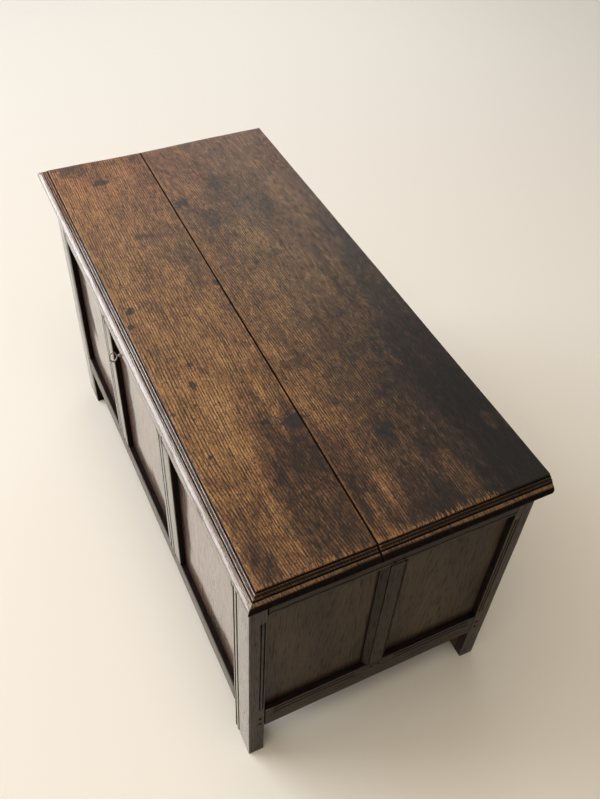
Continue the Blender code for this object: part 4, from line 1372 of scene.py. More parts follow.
# A much darker copy for the end panels, which stand in shade: painted shade.
SHADED_END_PANEL_OAK = replace(LIT_FACE_PANEL_OAK, deep=(0.027, 0.016, 0.008), pale=(0.064, 0.041, 0.021),
                        line=(0.009, 0.006, 0.004), specular=0.34, corner_reach=0.030, rim_reach=0.006,
                        line_share=0.32, pore_share=0.40)
LID_OAK = LidFinish("lid_oak", line=(0.012, 0.008, 0.006), bare=(0.300, 0.150, 0.062), line_share=0.94,
                    roughness=0.42, wax=0.04, wax_roughness=0.24, specular=0.30, end_dulling=0.0)
INSIDE_OAK = OakFinish("inside_oak", deep=(0.105, 0.064, 0.036), pale=(0.190, 0.125, 0.074),
                       line=(0.050, 0.029, 0.016), bare=(0.230, 0.155, 0.095), grime_and_shade=(0.030, 0.020, 0.013),
                       roughness=0.80, wax=0.0, wear_share=0.5)
PEG_OAK = OakFinish("frame_oak", deep=(0.013, 0.009, 0.006), pale=(0.030, 0.019, 0.011),
                    line=(0.006, 0.004, 0.003), bare=(0.050, 0.030, 0.018))


@dataclass(frozen=True)
class HingeSeat:
    """The seats that the hinges are let into, in the back rail and in the lid."""

    places: Pair = (-0.330, 0.330)
    half: float = 0.0323
    leaf: Pair = (0.2417, 0.2582)
    leaf_low: float = 0.6047
    knuckle: Pair = (0.2535, 0.2625)
    knuckle_low: float = 0.60265
    lid_depth: float = 0.0023
    spare: float = 0.01

    def cut(self, work: Workpiece, across: Pair, up: Pair) -> None:
        """Cuts one seat for each hinge into a piece.

        Args:
            work: The piece.
            across: The seat's range from front to back.
            up: Its range of heights.
        """
        for x in self.places:
            seat = Block((x - self.half, across[0], up[0]), (x + self.half, across[1], up[1]))
            work.cut(Workpiece.sawn("seat", seat))


@dataclass(frozen=True)
class Side:
    """One side of the carcase in its own coordinates: along it, inwards from its outer face, and up."""

    name: str
    number: int
    along: Axis
    inward: Axis
    sign: int
    face: float
    middle: float
    half: float
    rail_height: float
    muntins: tuple[tuple[str, float], ...]
    muntin_width: float
    panels: tuple[str, ...]
    peg_spread: tuple[float, ...]

    @property
    def is_end(self) -> bool:
        """Says whether it is an end of the carcase."""
        return self.along is Axis.Y

    @property
    def outer(self) -> tuple[tuple[Axis, int], ...]:
        """Gives the axis and the side that its outer face lies on."""
        return ((self.inward, -self.sign),)

    def at(self, along: float, inward: float, up: float) -> Triple:
        """Gives the place of a point in the side's own coordinates."""
        made = {self.along: self.middle + along, self.inward: self.face + self.sign * inward, Axis.Z: up}
        return tuple(made[axis] for axis in Axis)

    def block(self, along: Pair, inward: Pair, up: Pair) -> Block:
        """Gives a block from three ranges in the side's own coordinates."""
        return Block.between(self.at(along[0], inward[0], up[0]), self.at(along[1], inward[1], up[1]))

    def bays(self) -> list[Pair]:
        """Finds the side's panel openings.

        Returns:
            The left and right edge of each.
        """
        edges = [-self.half]
        for _, centre in self.muntins:
            edges += [centre - self.muntin_width / 2, centre + self.muntin_width / 2]
        edges.append(self.half)
        return list(zip(edges[0::2], edges[1::2]))


@dataclass
class Carcase:
    """The pegged frames and panels of the four sides, and the floor between them."""

    length: float = 1.060
    front: float = -0.2365
    back: float = 0.2705
    height: float = 0.607
    foot: float = 0.107
    stile_width: float = 0.068
    thickness: float = 0.031
    top_rail: float = 0.098
    face_rail: float = 0.048
    end_rail: float = 0.060
    face_muntin: float = 0.066
    face_muntins: tuple[tuple[str, float], ...] = (("left", -0.187), ("right", 0.150))
    end_muntin: float = 0.050
    chamfer: float = 0.010
    chamfer_arris: float = 0.0008
    chamfer_quirk: float = 0.0010
    chamfer_reveal: float = 1.2
    panel_recess: float = 0.012
    panel_thickness: float = 0.009
    panel_lap: float = 0.008
    panel_hollow: float = 0.0016
    arris: float = 0.0022
    shoulder: float = 0.0006
    gap: float = 0.0003
    hollow: float = 0.0009
    hollow_scale: float = 0.085
    grain_pitch: float = 0.030
    cross_pitch: float = 0.017
    chamfer_pitch: float = 0.0125
    panel_pitch: float = 0.016
    wide_groove: float = 0.005
    narrow_groove: float = 0.0026
    rail_groove: float = 0.0036
    groove_stop: float = 0.015
    stile_offsets: Pair = (0.008, 0.0195)
    stile_end_offsets: Pair = (0.0042, 0.0102)
    muntin_offsets: Pair = (0.015, 0.030)
    top_rail_offset: float = 0.009
    end_rail_offsets: Pair = (0.005, 0.0164)
    bore_radius: float = 0.0040
    bore_length: float = 0.08
    bore_sides: int = 24
    slot_half: float = 0.0023
    slot_low: float = 0.5472
    slot_reach: Pair = (-0.01, 0.04)
    hinges: HingeSeat = HingeSeat()
    seat_top: float = 0.62
    peg_radius: float = 0.0036
    peg_sides: int = 9
    peg_crown: float = 0.0011
    peg_turn: float = 0.7
    peg_proud: float = 0.0005
    peg_inset: float = 0.009
    peg_depth: float = 0.003
    peg_pair: float = 0.008
    tenon_top: Pair = (0.012, 0.022)
    tenon_bottom: Pair = (0.006, 0.012)
    floor_low: float = 0.113
    floor_thickness: float = 0.014
    floor_boards: int = 4
    floor_gap: float = 0.0004
    floor_lap: float = 0.007
    floor_arris: float = 0.0016
    floor_hollow: float = 0.0012
    stile_growth: Growth = Growth((0.16, 0.05), (0.02, 0.01), 0.0042)
    stile_seeds: Pair = (3.0, 9.0)
    top_growth: Growth = Growth((0.11, 0.06), (0.015, 0.02), 0.0044)
    bottom_growth: Growth = Growth((-0.09, 0.06), (0.015, 0.02), 0.0044)
    rail_seeds: Pair = (11.0, 2.3)
    muntin_growth: Growth = Growth((0.10, 0.04), (0.03, 0.0), 0.0040)
    muntin_seeds: Pair = (31.0, 4.1)
    panel_growth: Growth = Growth((0.05, 0.055), (-0.03, 0.07), 0.0050, 0.016)
    panel_shift: float = 0.06
    panel_seeds: Triple = (51.0, 7.3, 2.9)
    peg_growth: Growth = Growth((0.02, 0.02), spacing=0.003)
    peg_seed: float = 5.0
    floor_growth: Growth = Growth((0.03, -0.05), (0.03, 0.04), 0.0055, 0.014)
    floor_seeds: Pair = (90.0, 3.7)
    waxed_share: float = 0.7
    panel_waxed: float = 0.75
    all_waxed: float = 0.9
    sides: tuple[Side, ...] = field(init=False)
    texture: bpy.types.Texture = field(init=False)

    def __post_init__(self) -> None:
        """Lays out the four sides."""
        end, middle = self.length / 2, (self.front + self.back) / 2
        face = dict(along=Axis.X, inward=Axis.Y, middle=0.0, half=end - self.stile_width, peg_spread=(0.0,),
                    rail_height=self.face_rail, muntins=self.face_muntins, muntin_width=self.face_muntin,
                    panels=("left", "middle", "right"))
        side = dict(along=Axis.Y, inward=Axis.X, middle=middle, half=self.back - middle - self.thickness,
                    peg_spread=(-self.peg_pair, self.peg_pair), rail_height=self.end_rail, muntins=(("", 0.0),),
                    muntin_width=self.end_muntin, panels=("front", "back"))
        self.sides = (Side("front", 0, sign=1, face=self.front, **face),
                      Side("back", 1, sign=-1, face=self.back, **face),
                      Side("left", 2, sign=1, face=-end, **side), Side("right", 3, sign=-1, face=end, **side))
        self.texture = bpy.data.textures.new("planed hollows", "CLOUDS")
        self.texture.noise_scale = self.hollow_scale
        self.texture.noise_depth = 1

    def build(self) -> None:
        """Builds every wooden piece of the carcase."""
        self.build_stiles()
        for side in self.sides:
            self.build_rails(side)
            self.build_muntins(side)
            self.build_panels(side)
            self.build_pegs(side)
        self.build_floor()

    @staticmethod
    def finish(work: Workpiece, oak: OakFinish, stock: Stock, name: str) -> None:
        """Dresses a shaped piece in its oak and puts it in place of its solid."""
        work.deliver(Body.CARCASE, oak.slot, oak.dress(f"{name} oak", stock), name)

    def age(self, work: Workpiece, grain: Axis, cross_pitch: float) -> None:
        """Hollows a member a little, as planing and age do.

        Args:
            work: The member.
            grain: The axis along it.
            cross_pitch: How closely its faces are divided across the grain.
        """
        for axis in Axis:
            work.saw_evenly(axis, self.grain_pitch if axis is grain else cross_pitch)
        work.undulate(self.texture, self.hollow)

    def member(self, name: str, block: Block, grain: Axis, grooves: Sequence[Groove]) -> Workpiece:
        """Shapes one member of the frame: eased, scratched with its grooves and hollowed a little by age.

        Args:
            name: The piece's name.
            block: Its size and place.
            grain: The axis along it.
            grooves: Its scratch mouldings.

        Returns:
            The shaped piece.
        """
        work = Workpiece.sawn(name, block)
        work.ease(grain, self.arris, self.shoulder)
        for groove in grooves:
            work.scratch(groove, grain)
        self.age(work, grain, self.cross_pitch)
        return work

    def build_stiles(self) -> None:
        """Builds the four corner posts, whose lower ends are the feet."""
        end = self.length / 2
        for face_name, y, inward in (("front", self.front, 1), ("back", self.back, -1)):
            for end_name, sign in (("left", -1), ("right", 1)):
                name = f"stile_{face_name}_{end_name}"
                inner = sign * (end - self.stile_width)
                block = Block.between((sign * end, y, 0.0), (inner, y + inward * self.thickness, self.height))
                grooves = self.stile_end_grooves(sign, y, inward)
                if face_name == "front":
                    grooves = self.face_grooves(inner, sign, self.stile_offsets) + grooves
                work = self.member(f"{name}_oak", block, Axis.Z, grooves)
                stock = Stock(block, Axis.Z, ((Axis.Y, -inward), (Axis.X, sign)),
                              self.stile_growth.turned(sign, inward),
                              self.stile_seeds[0] * sign + self.stile_seeds[1] * y,
                              self.thickness * self.waxed_share, grooves=tuple(grooves))
                self.finish(work, FRAME_OAK, stock, name)

    def face_grooves(self, edge: float, sign: int, offsets: Pair) -> list[Groove]:
        """Lists the grooves down the front of an upright, at some offsets to one side of its edge."""
        return [Groove(Axis.Y, -1, Axis.X, edge + sign * offset, self.wide_groove) for offset in offsets]

    def stile_end_grooves(self, sign: int, y: float, inward: int) -> list[Groove]:
        """Lists the two stopped grooves on the end face of a corner post, whose outer face lies at some y."""
        span = (self.foot + self.end_rail + self.groove_stop, self.height - self.top_rail - self.groove_stop)
        return [Groove(Axis.X, sign, Axis.Y, y + inward * (self.thickness - offset), self.narrow_groove, span)
                for offset in self.stile_end_offsets]

    def build_rails(self, side: Side) -> None:
        """Builds a side's two rails.

        Args:
            side: The side.
        """
        ranges = {"top": (self.height - self.top_rail, self.height),
                  "bottom": (self.foot, self.foot + side.rail_height)}
        for level, up in ranges.items():
            name = f"{side.name}_{level}_rail"
            reach = side.half - self.gap
            block = side.block((-reach, reach), (0.0, self.thickness), up)
            grooves = self.rail_grooves(side, level) if side.is_end else []
            work = self.member(f"{name}_oak", block, side.along, grooves)
            if name == "front_top_rail":
                self.cut_keyhole(work)
            if name == "back_top_rail":
                self.hinges.cut(work, self.hinges.leaf, (self.hinges.leaf_low, self.seat_top))
                self.hinges.cut(work, self.hinges.knuckle, (self.hinges.knuckle_low, self.seat_top))
            growth = (self.top_growth if level == "top" else self.bottom_growth).turned(1, side.sign)
            stock = Stock(block, side.along, side.outer, growth,
                          self.rail_seeds[0] + self.rail_seeds[1] * side.number + up[0],
                          self.thickness * self.waxed_share, grooves=tuple(grooves))
            oak = SHADED_END_OAK if side.is_end else FRAME_OAK if level == "top" else FOOT_OAK
            self.finish(work, oak, stock, name)

    def rail_grooves(self, side: Side, level: str) -> list[Groove]:
        """Lists an end rail's scratch mouldings.

        Args:
            side: The end of the carcase.
            level: Whether it is the top or the bottom rail.

        Returns:
            One long groove above the panels, or two stopped ones below each panel.
        """
        width = self.narrow_groove if level == "top" else self.rail_groove
        cut = dict(face=side.inward, side=-side.sign, across=Axis.Z, width=width)
        if level == "top":
            return [Groove(place=self.height - self.top_rail + self.top_rail_offset, **cut)]
        top = self.foot + side.rail_height
        spans = [(side.middle + left + self.groove_stop, side.middle + right - self.groove_stop)
                 for left, right in side.bays()]
        return [Groove(place=top - offset, span=span, **cut)
                for offset in self.end_rail_offsets for span in spans]

    def cut_keyhole(self, work: Workpiece) -> None:
        """Cuts the keyhole through the front top rail.

        Args:
            work: The rail.
        """
        x, z = KEY_AXIS
        near, far = (self.front + reach for reach in self.slot_reach)
        work.cut(Workpiece.turned("keyhole_bore", (x, self.front, z), Axis.Y, self.bore_length,
                                  self.bore_radius, self.bore_sides))
        slot = Block((x - self.slot_half, near, self.slot_low), (x + self.slot_half, far, z))
        work.cut(Workpiece.sawn("keyhole_slot", slot))

    def build_muntins(self, side: Side) -> None:
        """Builds a side's upright middle members.

        Args:
            side: The side.
        """
        low, high = self.foot + side.rail_height + self.gap, self.height - self.top_rail - self.gap
        half = side.muntin_width / 2
        for number, (suffix, centre) in enumerate(side.muntins):
            name = f"{side.name}_muntin" + (f"_{suffix}" if suffix else "")
            block = side.block((centre - half, centre + half), (0.0, self.thickness), (low, high))
            has_grooves = side.name == "front"
            grooves = self.face_grooves(centre - half, 1, self.muntin_offsets) if has_grooves else []
            stock = Stock(block, Axis.Z, side.outer, self.muntin_growth.turned(1 - 2 * number, side.sign),
                          self.muntin_seeds[0] + self.muntin_seeds[1] * side.number + number,
                          self.thickness * self.waxed_share, grooves=tuple(grooves))
            if side.is_end:
                stock = replace(stock, reveal=(self.chamfer, self.chamfer_reveal * self.chamfer),
                                quirk=self.chamfer + self.chamfer_quirk)
                self.finish(self.chamfered(f"{name}_oak", block, side), SHADED_END_OAK, stock, name)
            else:
                self.finish(self.member(f"{name}_oak", block, Axis.Z, grooves), FRAME_OAK, stock, name)

    def chamfered(self, name: str, block: Block, side: Side) -> Workpiece:
        """Shapes an end muntin, whose outer edges are chamfered.

        Args:
            name: The piece's name.
            block: Its size and place.
            side: The end of the carcase that it stands in.

        Returns:
            The shaped piece.
        """
        work = Workpiece.sawn(name, block)

        def outer(edge: bmesh.types.BMEdge) -> bool:
            """Says whether an edge is an upright one on the outer face."""
            in_face = all(abs(vert.co[side.inward.value] - side.face) < NEAR for vert in edge.verts)
            return in_face and runs_with(edge, Axis.Z)

        work.bevel(outer, self.chamfer, 1)
        work.bevel(lambda edge: runs_with(edge, Axis.Z), self.chamfer_arris, SHOULDER_STEPS)
        self.age(work, Axis.Z, self.chamfer_pitch)
        return work

    def build_panels(self, side: Side) -> None:
        """Builds a side's panels, warped a little in their grooves.

        Args:
            side: The side.
        """
        up = (self.foot + side.rail_height - self.panel_lap, self.height - self.top_rail + self.panel_lap)
        inward = (self.panel_recess, self.panel_recess + self.panel_thickness)
        first, side_step, step = self.panel_seeds
        for number, (suffix, (left, right)) in enumerate(zip(side.panels, side.bays())):
            name = f"{side.name}_panel_{suffix}"
            block = side.block((left - self.panel_lap, right + self.panel_lap), inward, up)
            work = Workpiece.sawn(f"{name}_oak", block)
            work.saw_evenly(side.along, self.panel_pitch)
            work.saw_evenly(Axis.Z, self.panel_pitch)
            work.undulate(self.texture, self.panel_hollow)
            shift = self.panel_shift * number
            (across, through), (sideways, inwards) = self.panel_growth.pith, self.panel_growth.drift
            growth = replace(self.panel_growth, pith=(across - shift, side.sign * through),
                             drift=(sideways + shift, inwards))
            stock = Stock(block, Axis.Z, side.outer, growth, first + side_step * side.number + step * number,
                          self.panel_thickness * self.panel_waxed, self.panel_lap)
            self.finish(work, SHADED_END_PANEL_OAK if side.is_end else LIT_FACE_PANEL_OAK, stock, name)

    def peg_places(self, side: Side) -> list[Pair]:
        """Finds where a side's pegs go.

        Args:
            side: The side.

        Returns:
            Each peg's place along the side and its height.
        """
        top_low, bottom_high = self.height - self.top_rail, self.foot + side.rail_height
        tenons = ((top_low + self.tenon_top[0], self.height - self.tenon_top[1]),
                  (self.foot + self.tenon_bottom[0], bottom_high - self.tenon_bottom[1]))
        heights = [edge for low, high in tenons for edge in ((3 * low + high) / 4, (low + 3 * high) / 4)]
        made = [(sign * (side.half + self.peg_inset), up) for sign in (-1, 1) for up in heights]
        made += [(centre + off, up) for _, centre in side.muntins for off in side.peg_spread
                 for up in (top_low + self.peg_inset, bottom_high - self.peg_inset)]
        return made

    def build_pegs(self, side: Side) -> None:
        """Builds the heads of a side's pegs as one piece: a turned head, copied to every joint.

        Args:
            side: The side.
        """
        head = Workpiece.turned("peg", (0.0, 0.0, 0.0), Axis.Z, 2 * self.peg_depth, self.peg_radius,
                                self.peg_sides)
        head.bevel(lambda edge: all(vert.co.z > self.peg_depth - NEAR for vert in edge.verts), self.peg_crown,
                   SHOULDER_STEPS)
        turn = Axis.Z.vector().rotation_difference(side.inward.vector(-side.sign)).to_matrix().to_4x4()
        sunk = self.peg_depth - (self.peg_proud if side.is_end else 0.0)
        places = [Matrix.Translation(side.at(along, sunk, up)) @ turn
                  @ Matrix.Rotation(self.peg_turn * number + side.number, 4, "Z")
                  for number, (along, up) in enumerate(self.peg_places(side))]
        pegs = head.copied(f"{side.name}_pegs", places)
        block = side.block((-side.half, side.half), (-0.1, 0.1), (0.0, self.height))
        stock = Stock(block, side.inward, side.outer, self.peg_growth, self.peg_seed + side.number,
                      self.all_waxed)
        pegs.deliver(Body.CARCASE, PEG_OAK.slot, PEG_OAK.dress(f"{side.name} pegs", stock))

    def build_floor(self) -> None:
        """Builds the floor boards."""
        half = self.length / 2 - self.thickness - self.gap
        pitch = 2 * half / self.floor_boards
        inset = self.thickness - self.floor_lap
        for number in range(self.floor_boards):
            name = f"floor_board_{number + 1}"
            left = -half + number * pitch
            high = self.floor_low + self.floor_thickness
            block = Block((left + self.floor_gap, self.front + inset, self.floor_low),
                          (left + pitch - self.floor_gap, self.back - inset, high))
            work = Workpiece.sawn(f"{name}_oak", block)
            work.ease(Axis.Y, self.floor_arris, self.shoulder)
            work.saw_evenly(Axis.X, self.grain_pitch)
            work.saw_evenly(Axis.Y, self.grain_pitch)
            work.undulate(self.texture, self.floor_hollow)
            stock = Stock(block, Axis.Y, ((Axis.Z, 1),), self.floor_growth.turned((-1) ** number, 1),
                          self.floor_seeds[0] + self.floor_seeds[1] * number, self.all_waxed)
            self.finish(work, INSIDE_OAK, stock, name)


@dataclass(frozen=True)
class Dent:
    """A knock on the lid's front edge: where it was struck, how the wood gave and how far it shows."""

    x: float
    z: float
    push: Triple
    reach: float


@dataclass
class Lid:
    """The two lid boards with their moulded edge and slanting joint, and the battens under them."""

    form: LidForm = LidForm()
    joint_gap: float = 0.0005
    joint_open: float = 0.0011
    nose_undercut: float = 0.0038
    nose_steps: int = 14
    reed_crown: float = 0.0007
    reed_steps: int = 4
    arris: float = 0.0024
    arris_flat: float = 0.6
    arris_steps: int = 3
    corner: float = 0.0045
    corner_cuts: tuple[float, ...] = (0.06, 0.2, 0.42, 0.7, 1.0)
    sag: float = 0.0030
    sag_reach: float = 0.10
    rub_reach: float = 0.025
    rub_scale: float = 28.0
    rub_depth: float = 0.0005
    rub_base: float = 0.15
    pitch: float = 0.015
    hollow: float = 0.0010
    hollow_scale: float = 0.16
    loop_base: float = 0.1
    loop_step: float = 0.03
    underside: float = 0.0004
    dents: tuple[Dent, ...] = (Dent(0.3894, 0.6160, (0.0, 0.0028, -0.001), 0.0065),
                               Dent(0.268, 0.6205, (0.0, 0.0012, -0.0006), 0.005),
                               Dent(-0.18, 0.6190, (0.0, 0.0012, -0.0006), 0.006))
    hinges: HingeSeat = HingeSeat()
    front_growth: Growth = Growth((-0.42, -0.12), (0.010, 0.03), 0.0045, 0.010, 0.0011, -0.034)
    front_seed: float = 7.0
    back_growth: Growth = Growth((0.50, -0.10), (-0.02, 0.02), 0.0042, 0.014, 0.0015)
    back_seed: float = 19.0
    batten_low: Triple = (0.432, -0.1835, 0.589)
    batten_high: Triple = (0.477, 0.2175, 0.607)
    batten_chamfer: float = 0.009
    batten_arris: float = 0.0025
    batten_pitch: float = 0.03
    batten_hollow: float = 0.0008
    batten_growth: Growth = Growth((0.09, 0.05), (0.02, 0.02))
    batten_seed: float = 70.0
    all_waxed: float = 0.9

    def profile(self) -> list[Pair]:
        """Draws the moulded edge: a nose, then reeds between quirks, then the eased arris of the top.

        Returns:
            Its points, each as the inset from the nose and the height above the underside.
        """
        form = self.form
        points = []
        for step in range(self.nose_steps + 1):
            turn = math.pi * (step / self.nose_steps - 0.5)
            reach = self.nose_undercut if turn < 0 else form.nose_depth
            points.append((reach * (1 - math.cos(turn)), form.nose_height / 2 * (1 + math.sin(turn))))
        height = form.nose_height
        rise = (form.thickness - form.nose_height) / len(form.quirk_depths)
        for number, depth in enumerate(form.quirk_depths, 1):
            inset, foot = points[-1]
            points.append((inset + form.quirk_width / 2, foot - depth))
            inset, height = inset + form.quirk_width, height + rise
            if number < len(form.quirk_depths):
                for step in range(self.reed_steps + 1):
                    share = step / self.reed_steps
                    points.append((inset + form.reed_width * share,
                                   height - self.reed_crown * (2 * share - 1) ** 2))
        for step in range(self.arris_steps + 1):
            turn = math.pi / 2 * step / self.arris_steps
            points.append((inset + self.arris * (1 - math.cos(turn)),
                           form.thickness - self.arris * self.arris_flat * (1 - math.sin(turn))))
        return points

    def build(self) -> None:
        """Builds the boards and the battens."""
        hollows = bpy.data.textures.new("lid hollows", "CLOUDS")
        hollows.noise_scale = self.hollow_scale
        hollows.noise_depth = 2
        form = self.form
        joint = form.joint_y(0.0)
        boards = (("front", form.front, joint, self.front_growth, self.front_seed),
                  ("back", joint, form.back, self.back_growth, self.back_seed))
        for name, near, far, growth, seed in boards:
            block = Block((-form.half, near, form.low), (form.half, far, form.low + form.thickness))
            work = self.board(name, block)
            work.undulate(hollows, self.hollow)
            if name == "front":
                for dent in self.dents:
                    work.dent((dent.x, form.front, dent.z), dent.push, dent.reach)
            else:
                self.hinges.cut(work, (self.hinges.leaf[0], form.back + self.hinges.spare),
                                (form.low - self.hinges.spare, form.low + self.hinges.lid_depth))
            stock = Stock(block, Axis.X, ((Axis.Z, 1),), growth, seed, form.thickness - self.underside)
            node = f"lid_{name}_board"
            work.deliver(Body.LID, LID_OAK.slot, LID_OAK.dress(f"lid {name} oak", stock), node)
        for number, (name, sign) in enumerate((("left", -1), ("right", 1))):
            self.build_batten(name, sign, number, hollows)

    def board(self, name: str, block: Block) -> Workpiece:
        """Shapes one board from a tall block, whose level loops are brought down onto the moulding's profile.

        Args:
            name: Whether it is the front board, which is moulded along its front too, or the back one.
            block: Its size and place.

        Returns:
            The shaped board.
        """
        form = self.form
        is_front = name == "front"
        points = self.profile()
        levels = [form.low] + [form.low + self.loop_base + self.loop_step * index
                               for index in range(1, len(points))]
        work = Workpiece.sawn(f"lid_{name}_board_oak", replace(block, high=(*block.high[:2], levels[-1])))
        joint = block.bound(Axis.Y, 1 if is_front else -1)
        for x, gap in ((-form.half, self.joint_gap), (form.half, self.joint_open)):
            slant = form.joint_y(x) - joint + (-gap if is_front else gap)
            work.shift({Axis.X: x, Axis.Y: joint}, (0.0, slant, 0.0))
        work.saw(Axis.Z, levels[1:-1])
        for level, (inset, height) in zip(levels, points):
            if is_front:
                work.shift({Axis.Z: level, Axis.Y: form.front}, (0.0, inset, 0.0))
            for sign in (-1, 1):
                work.shift({Axis.Z: level, Axis.X: sign * form.half}, (-sign * inset, 0.0, 0.0))
            work.shift({Axis.Z: level}, (0.0, 0.0, form.low + height - level))
        work.block = block
        work.saw_evenly(Axis.X, self.pitch)
        work.saw_evenly(Axis.Y, self.pitch)
        if not is_front:
            work.saw(Axis.Y, [form.back - self.corner * share for share in self.corner_cuts])
        work.reshape(self.worn)
        return work

    def worn(self, place: Vector) -> Vector:
        """Gives how far a point of the lid is worn away: at the back corners, and along the arrises.

        Args:
            place: The point.

        Returns:
            Its shift.
        """
        form = self.form
        shift = Vector((0.0, 0.0, 0.0))
        past = place.y - (form.back - self.corner)
        if past > 0.0 and abs(place.x) > form.half - 2 * self.corner:
            lost = self.corner - math.sqrt(self.corner ** 2 - min(past, self.corner) ** 2)
            shift.x -= math.copysign(lost, place.x)
        rise = (place.z - form.low) / form.thickness
        shift.z -= self.sag * rise ** 2 * math.exp(-((place.y - form.joint_y(place.x)) / self.sag_reach) ** 2)
        inset = min(form.half - abs(place.x), place.y - form.front)
        if inset < self.rub_reach and place.z > form.low + form.nose_height / 2:
            rubbed = noise.noise(Vector((place.x * self.rub_scale, place.y * self.rub_scale, 0.0)))
            shift.z -= self.rub_depth * max(0.0, rubbed + self.rub_base)
        return shift

    def build_batten(self, name: str, sign: int, number: int, hollows: bpy.types.Texture) -> None:
        """Builds one of the two battens that hold the boards together.

        Args:
            name: Whether it is the left or the right one.
            sign: Which way it lies from the middle.
            number: Its number, which varies the wood.
            hollows: The pattern of the wood's hollows.
        """
        low, high = ((sign * x, y, z) for x, y, z in (self.batten_low, self.batten_high))
        block = Block.between(low, high)
        work = Workpiece.sawn(f"lid_batten_{name}_oak", block)

        def lower_end(edge: bmesh.types.BMEdge) -> bool:
            """Says whether an edge is a lower one across an end of the batten."""
            is_low = all(vert.co.z < block.bound(Axis.Z, -1) + NEAR for vert in edge.verts)
            return is_low and runs_with(edge, Axis.X)

        work.bevel(lower_end, self.batten_chamfer, 1)
        work.bevel(lambda edge: runs_with(edge, Axis.Y), self.batten_arris, SHOULDER_STEPS)
        work.saw_evenly(Axis.Y, self.batten_pitch)
        work.undulate(hollows, self.batten_hollow)
        stock = Stock(block, Axis.Y, ((Axis.Z, -1),), self.batten_growth, self.batten_seed + number,
                      self.all_waxed)
        node = f"lid_batten_{name}"
        work.deliver(Body.LID, INSIDE_OAK.slot, INSIDE_OAK.dress(f"{name} batten oak", stock), node)


@dataclass
class Ironwork:
    """The hinges, the lock, the nails and the key."""

    finish: IronFinish = IronFinish()
    handled: float = 0.6
    key_finish: IronFinish = IronFinish(dark=(0.075, 0.068, 0.060), bright=(0.300, 0.275, 0.240))
    key_handled: float = 0.7
    bow_middle: float = -0.262
    bow_half: Pair = (0.0069, 0.0109)
    bow_wire: float = 0.0014
    bow_segments: int = 40
    wire_segments: int = 12
    shank: Pair = (-0.2551, -0.1857)
    shank_radius: float = 0.0031
    shank_sides: int = 20
    shank_rings: tuple[Pair, ...] = (
        (0.0, 0.62), (0.0035, 0.62), (0.0045, 1.0), (0.0065, 1.0), (0.0075, 0.72), (0.0095, 0.72),
        (0.0105, 0.95), (0.0120, 0.95), (0.0135, 0.80), (0.055, 0.80), (0.0560, 1.0), (0.0694, 1.0))
    bit: tuple[Pair, Pair] = ((-0.1939, -0.1885), (0.5482, 0.5625))
    bit_half: float = 0.0014
    bit_arris: float = 0.0004
    wards: tuple[float, ...] = (0.5530, 0.5575)
    ward_height: float = 0.0014
    ward_depth: float = 0.0022
    ward_spare: Pair = (0.01, 0.001)

    def build(self) -> None:
        """Makes the key, and dresses the iron solids that keep their shape."""
        self.build_key()
        plain = self.finish.dress("wrought iron")
        handled = self.finish.dress("handled iron", self.handled)
        for name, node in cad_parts.items():
            if not node.hide_render:
                worn = name in ("lock_bolt", "lid_staple") or name.endswith("_pin")
                node.material_slots[0].material = handled if worn else plain
                LOG.info("%s: dressed as %s", name, "handled iron" if worn else "wrought iron")

    def build_key(self) -> None:
        """Forges the key: an oval bow of wire, a turned shank and a warded bit."""
        x, z = KEY_AXIS
        low, high = self.shank
        work = Workpiece.turned("key_iron", (x, (low + high) / 2, z), Axis.Y, high - low, self.shank_radius,
                                self.shank_sides)
        work.saw(Axis.Y, [low + place for place, _ in self.shank_rings[1:-1]])
        shares = {round(low + place, 5): share for place, share in self.shank_rings}

        def thinned(place: Vector) -> Vector:
            """Gives how far a point of the bar is turned down towards its axis."""
            share = shares.get(round(place.y, 5), 1.0)
            return Vector(((x - place.x) * (1 - share), 0.0, (z - place.z) * (1 - share)))

        work.reshape(thinned)
        work.weld(self.warded_bit())
        work.weld(self.bow())
        work.deliver(Body.KEY, self.key_finish.slot, self.key_finish.dress("key iron", self.key_handled), "key")

    def warded_bit(self) -> Workpiece:
        """Files the key's bit.

        Returns:
            The bit.
        """
        x, _ = KEY_AXIS
        (front, back), (foot, top) = self.bit
        bit = Workpiece.sawn("key_bit", Block((x - self.bit_half, front, foot), (x + self.bit_half, back, top)))
        bit.bevel(lambda edge: all(vert.co.z < foot + NEAR for vert in edge.verts), self.bit_arris,
                  SHOULDER_STEPS)
        side_spare, front_spare = self.ward_spare
        for ward in self.wards:
            notch = Block((x - side_spare, front - front_spare, ward),
                          (x + side_spare, front + self.ward_depth, ward + self.ward_height))
            bit.cut(Workpiece.sawn("ward", notch))
        return bit

    def bow(self) -> Workpiece:
        """Bends the key's oval bow from a round of wire.

        Returns:
            The bow.
        """
        x, z = KEY_AXIS
        reach = sum(self.bow_half) / 2
        clear_bench()
        bpy.ops.mesh.primitive_torus_add(location=(x, self.bow_middle, z), rotation=(0.0, math.pi / 2, 0.0),
                                         major_radius=reach, minor_radius=self.bow_wire,
                                         major_segments=self.bow_segments, minor_segments=self.wire_segments)
        work = Workpiece("key_bow")
        with work.at_work(Pick.VERT):
            work.pick(Pick.VERT, lambda vert: True)
            bpy.ops.transform.resize(value=(1.0, self.bow_half[0] / reach, self.bow_half[1] / reach),
                                     center_override=(x, self.bow_middle, z))
        return work


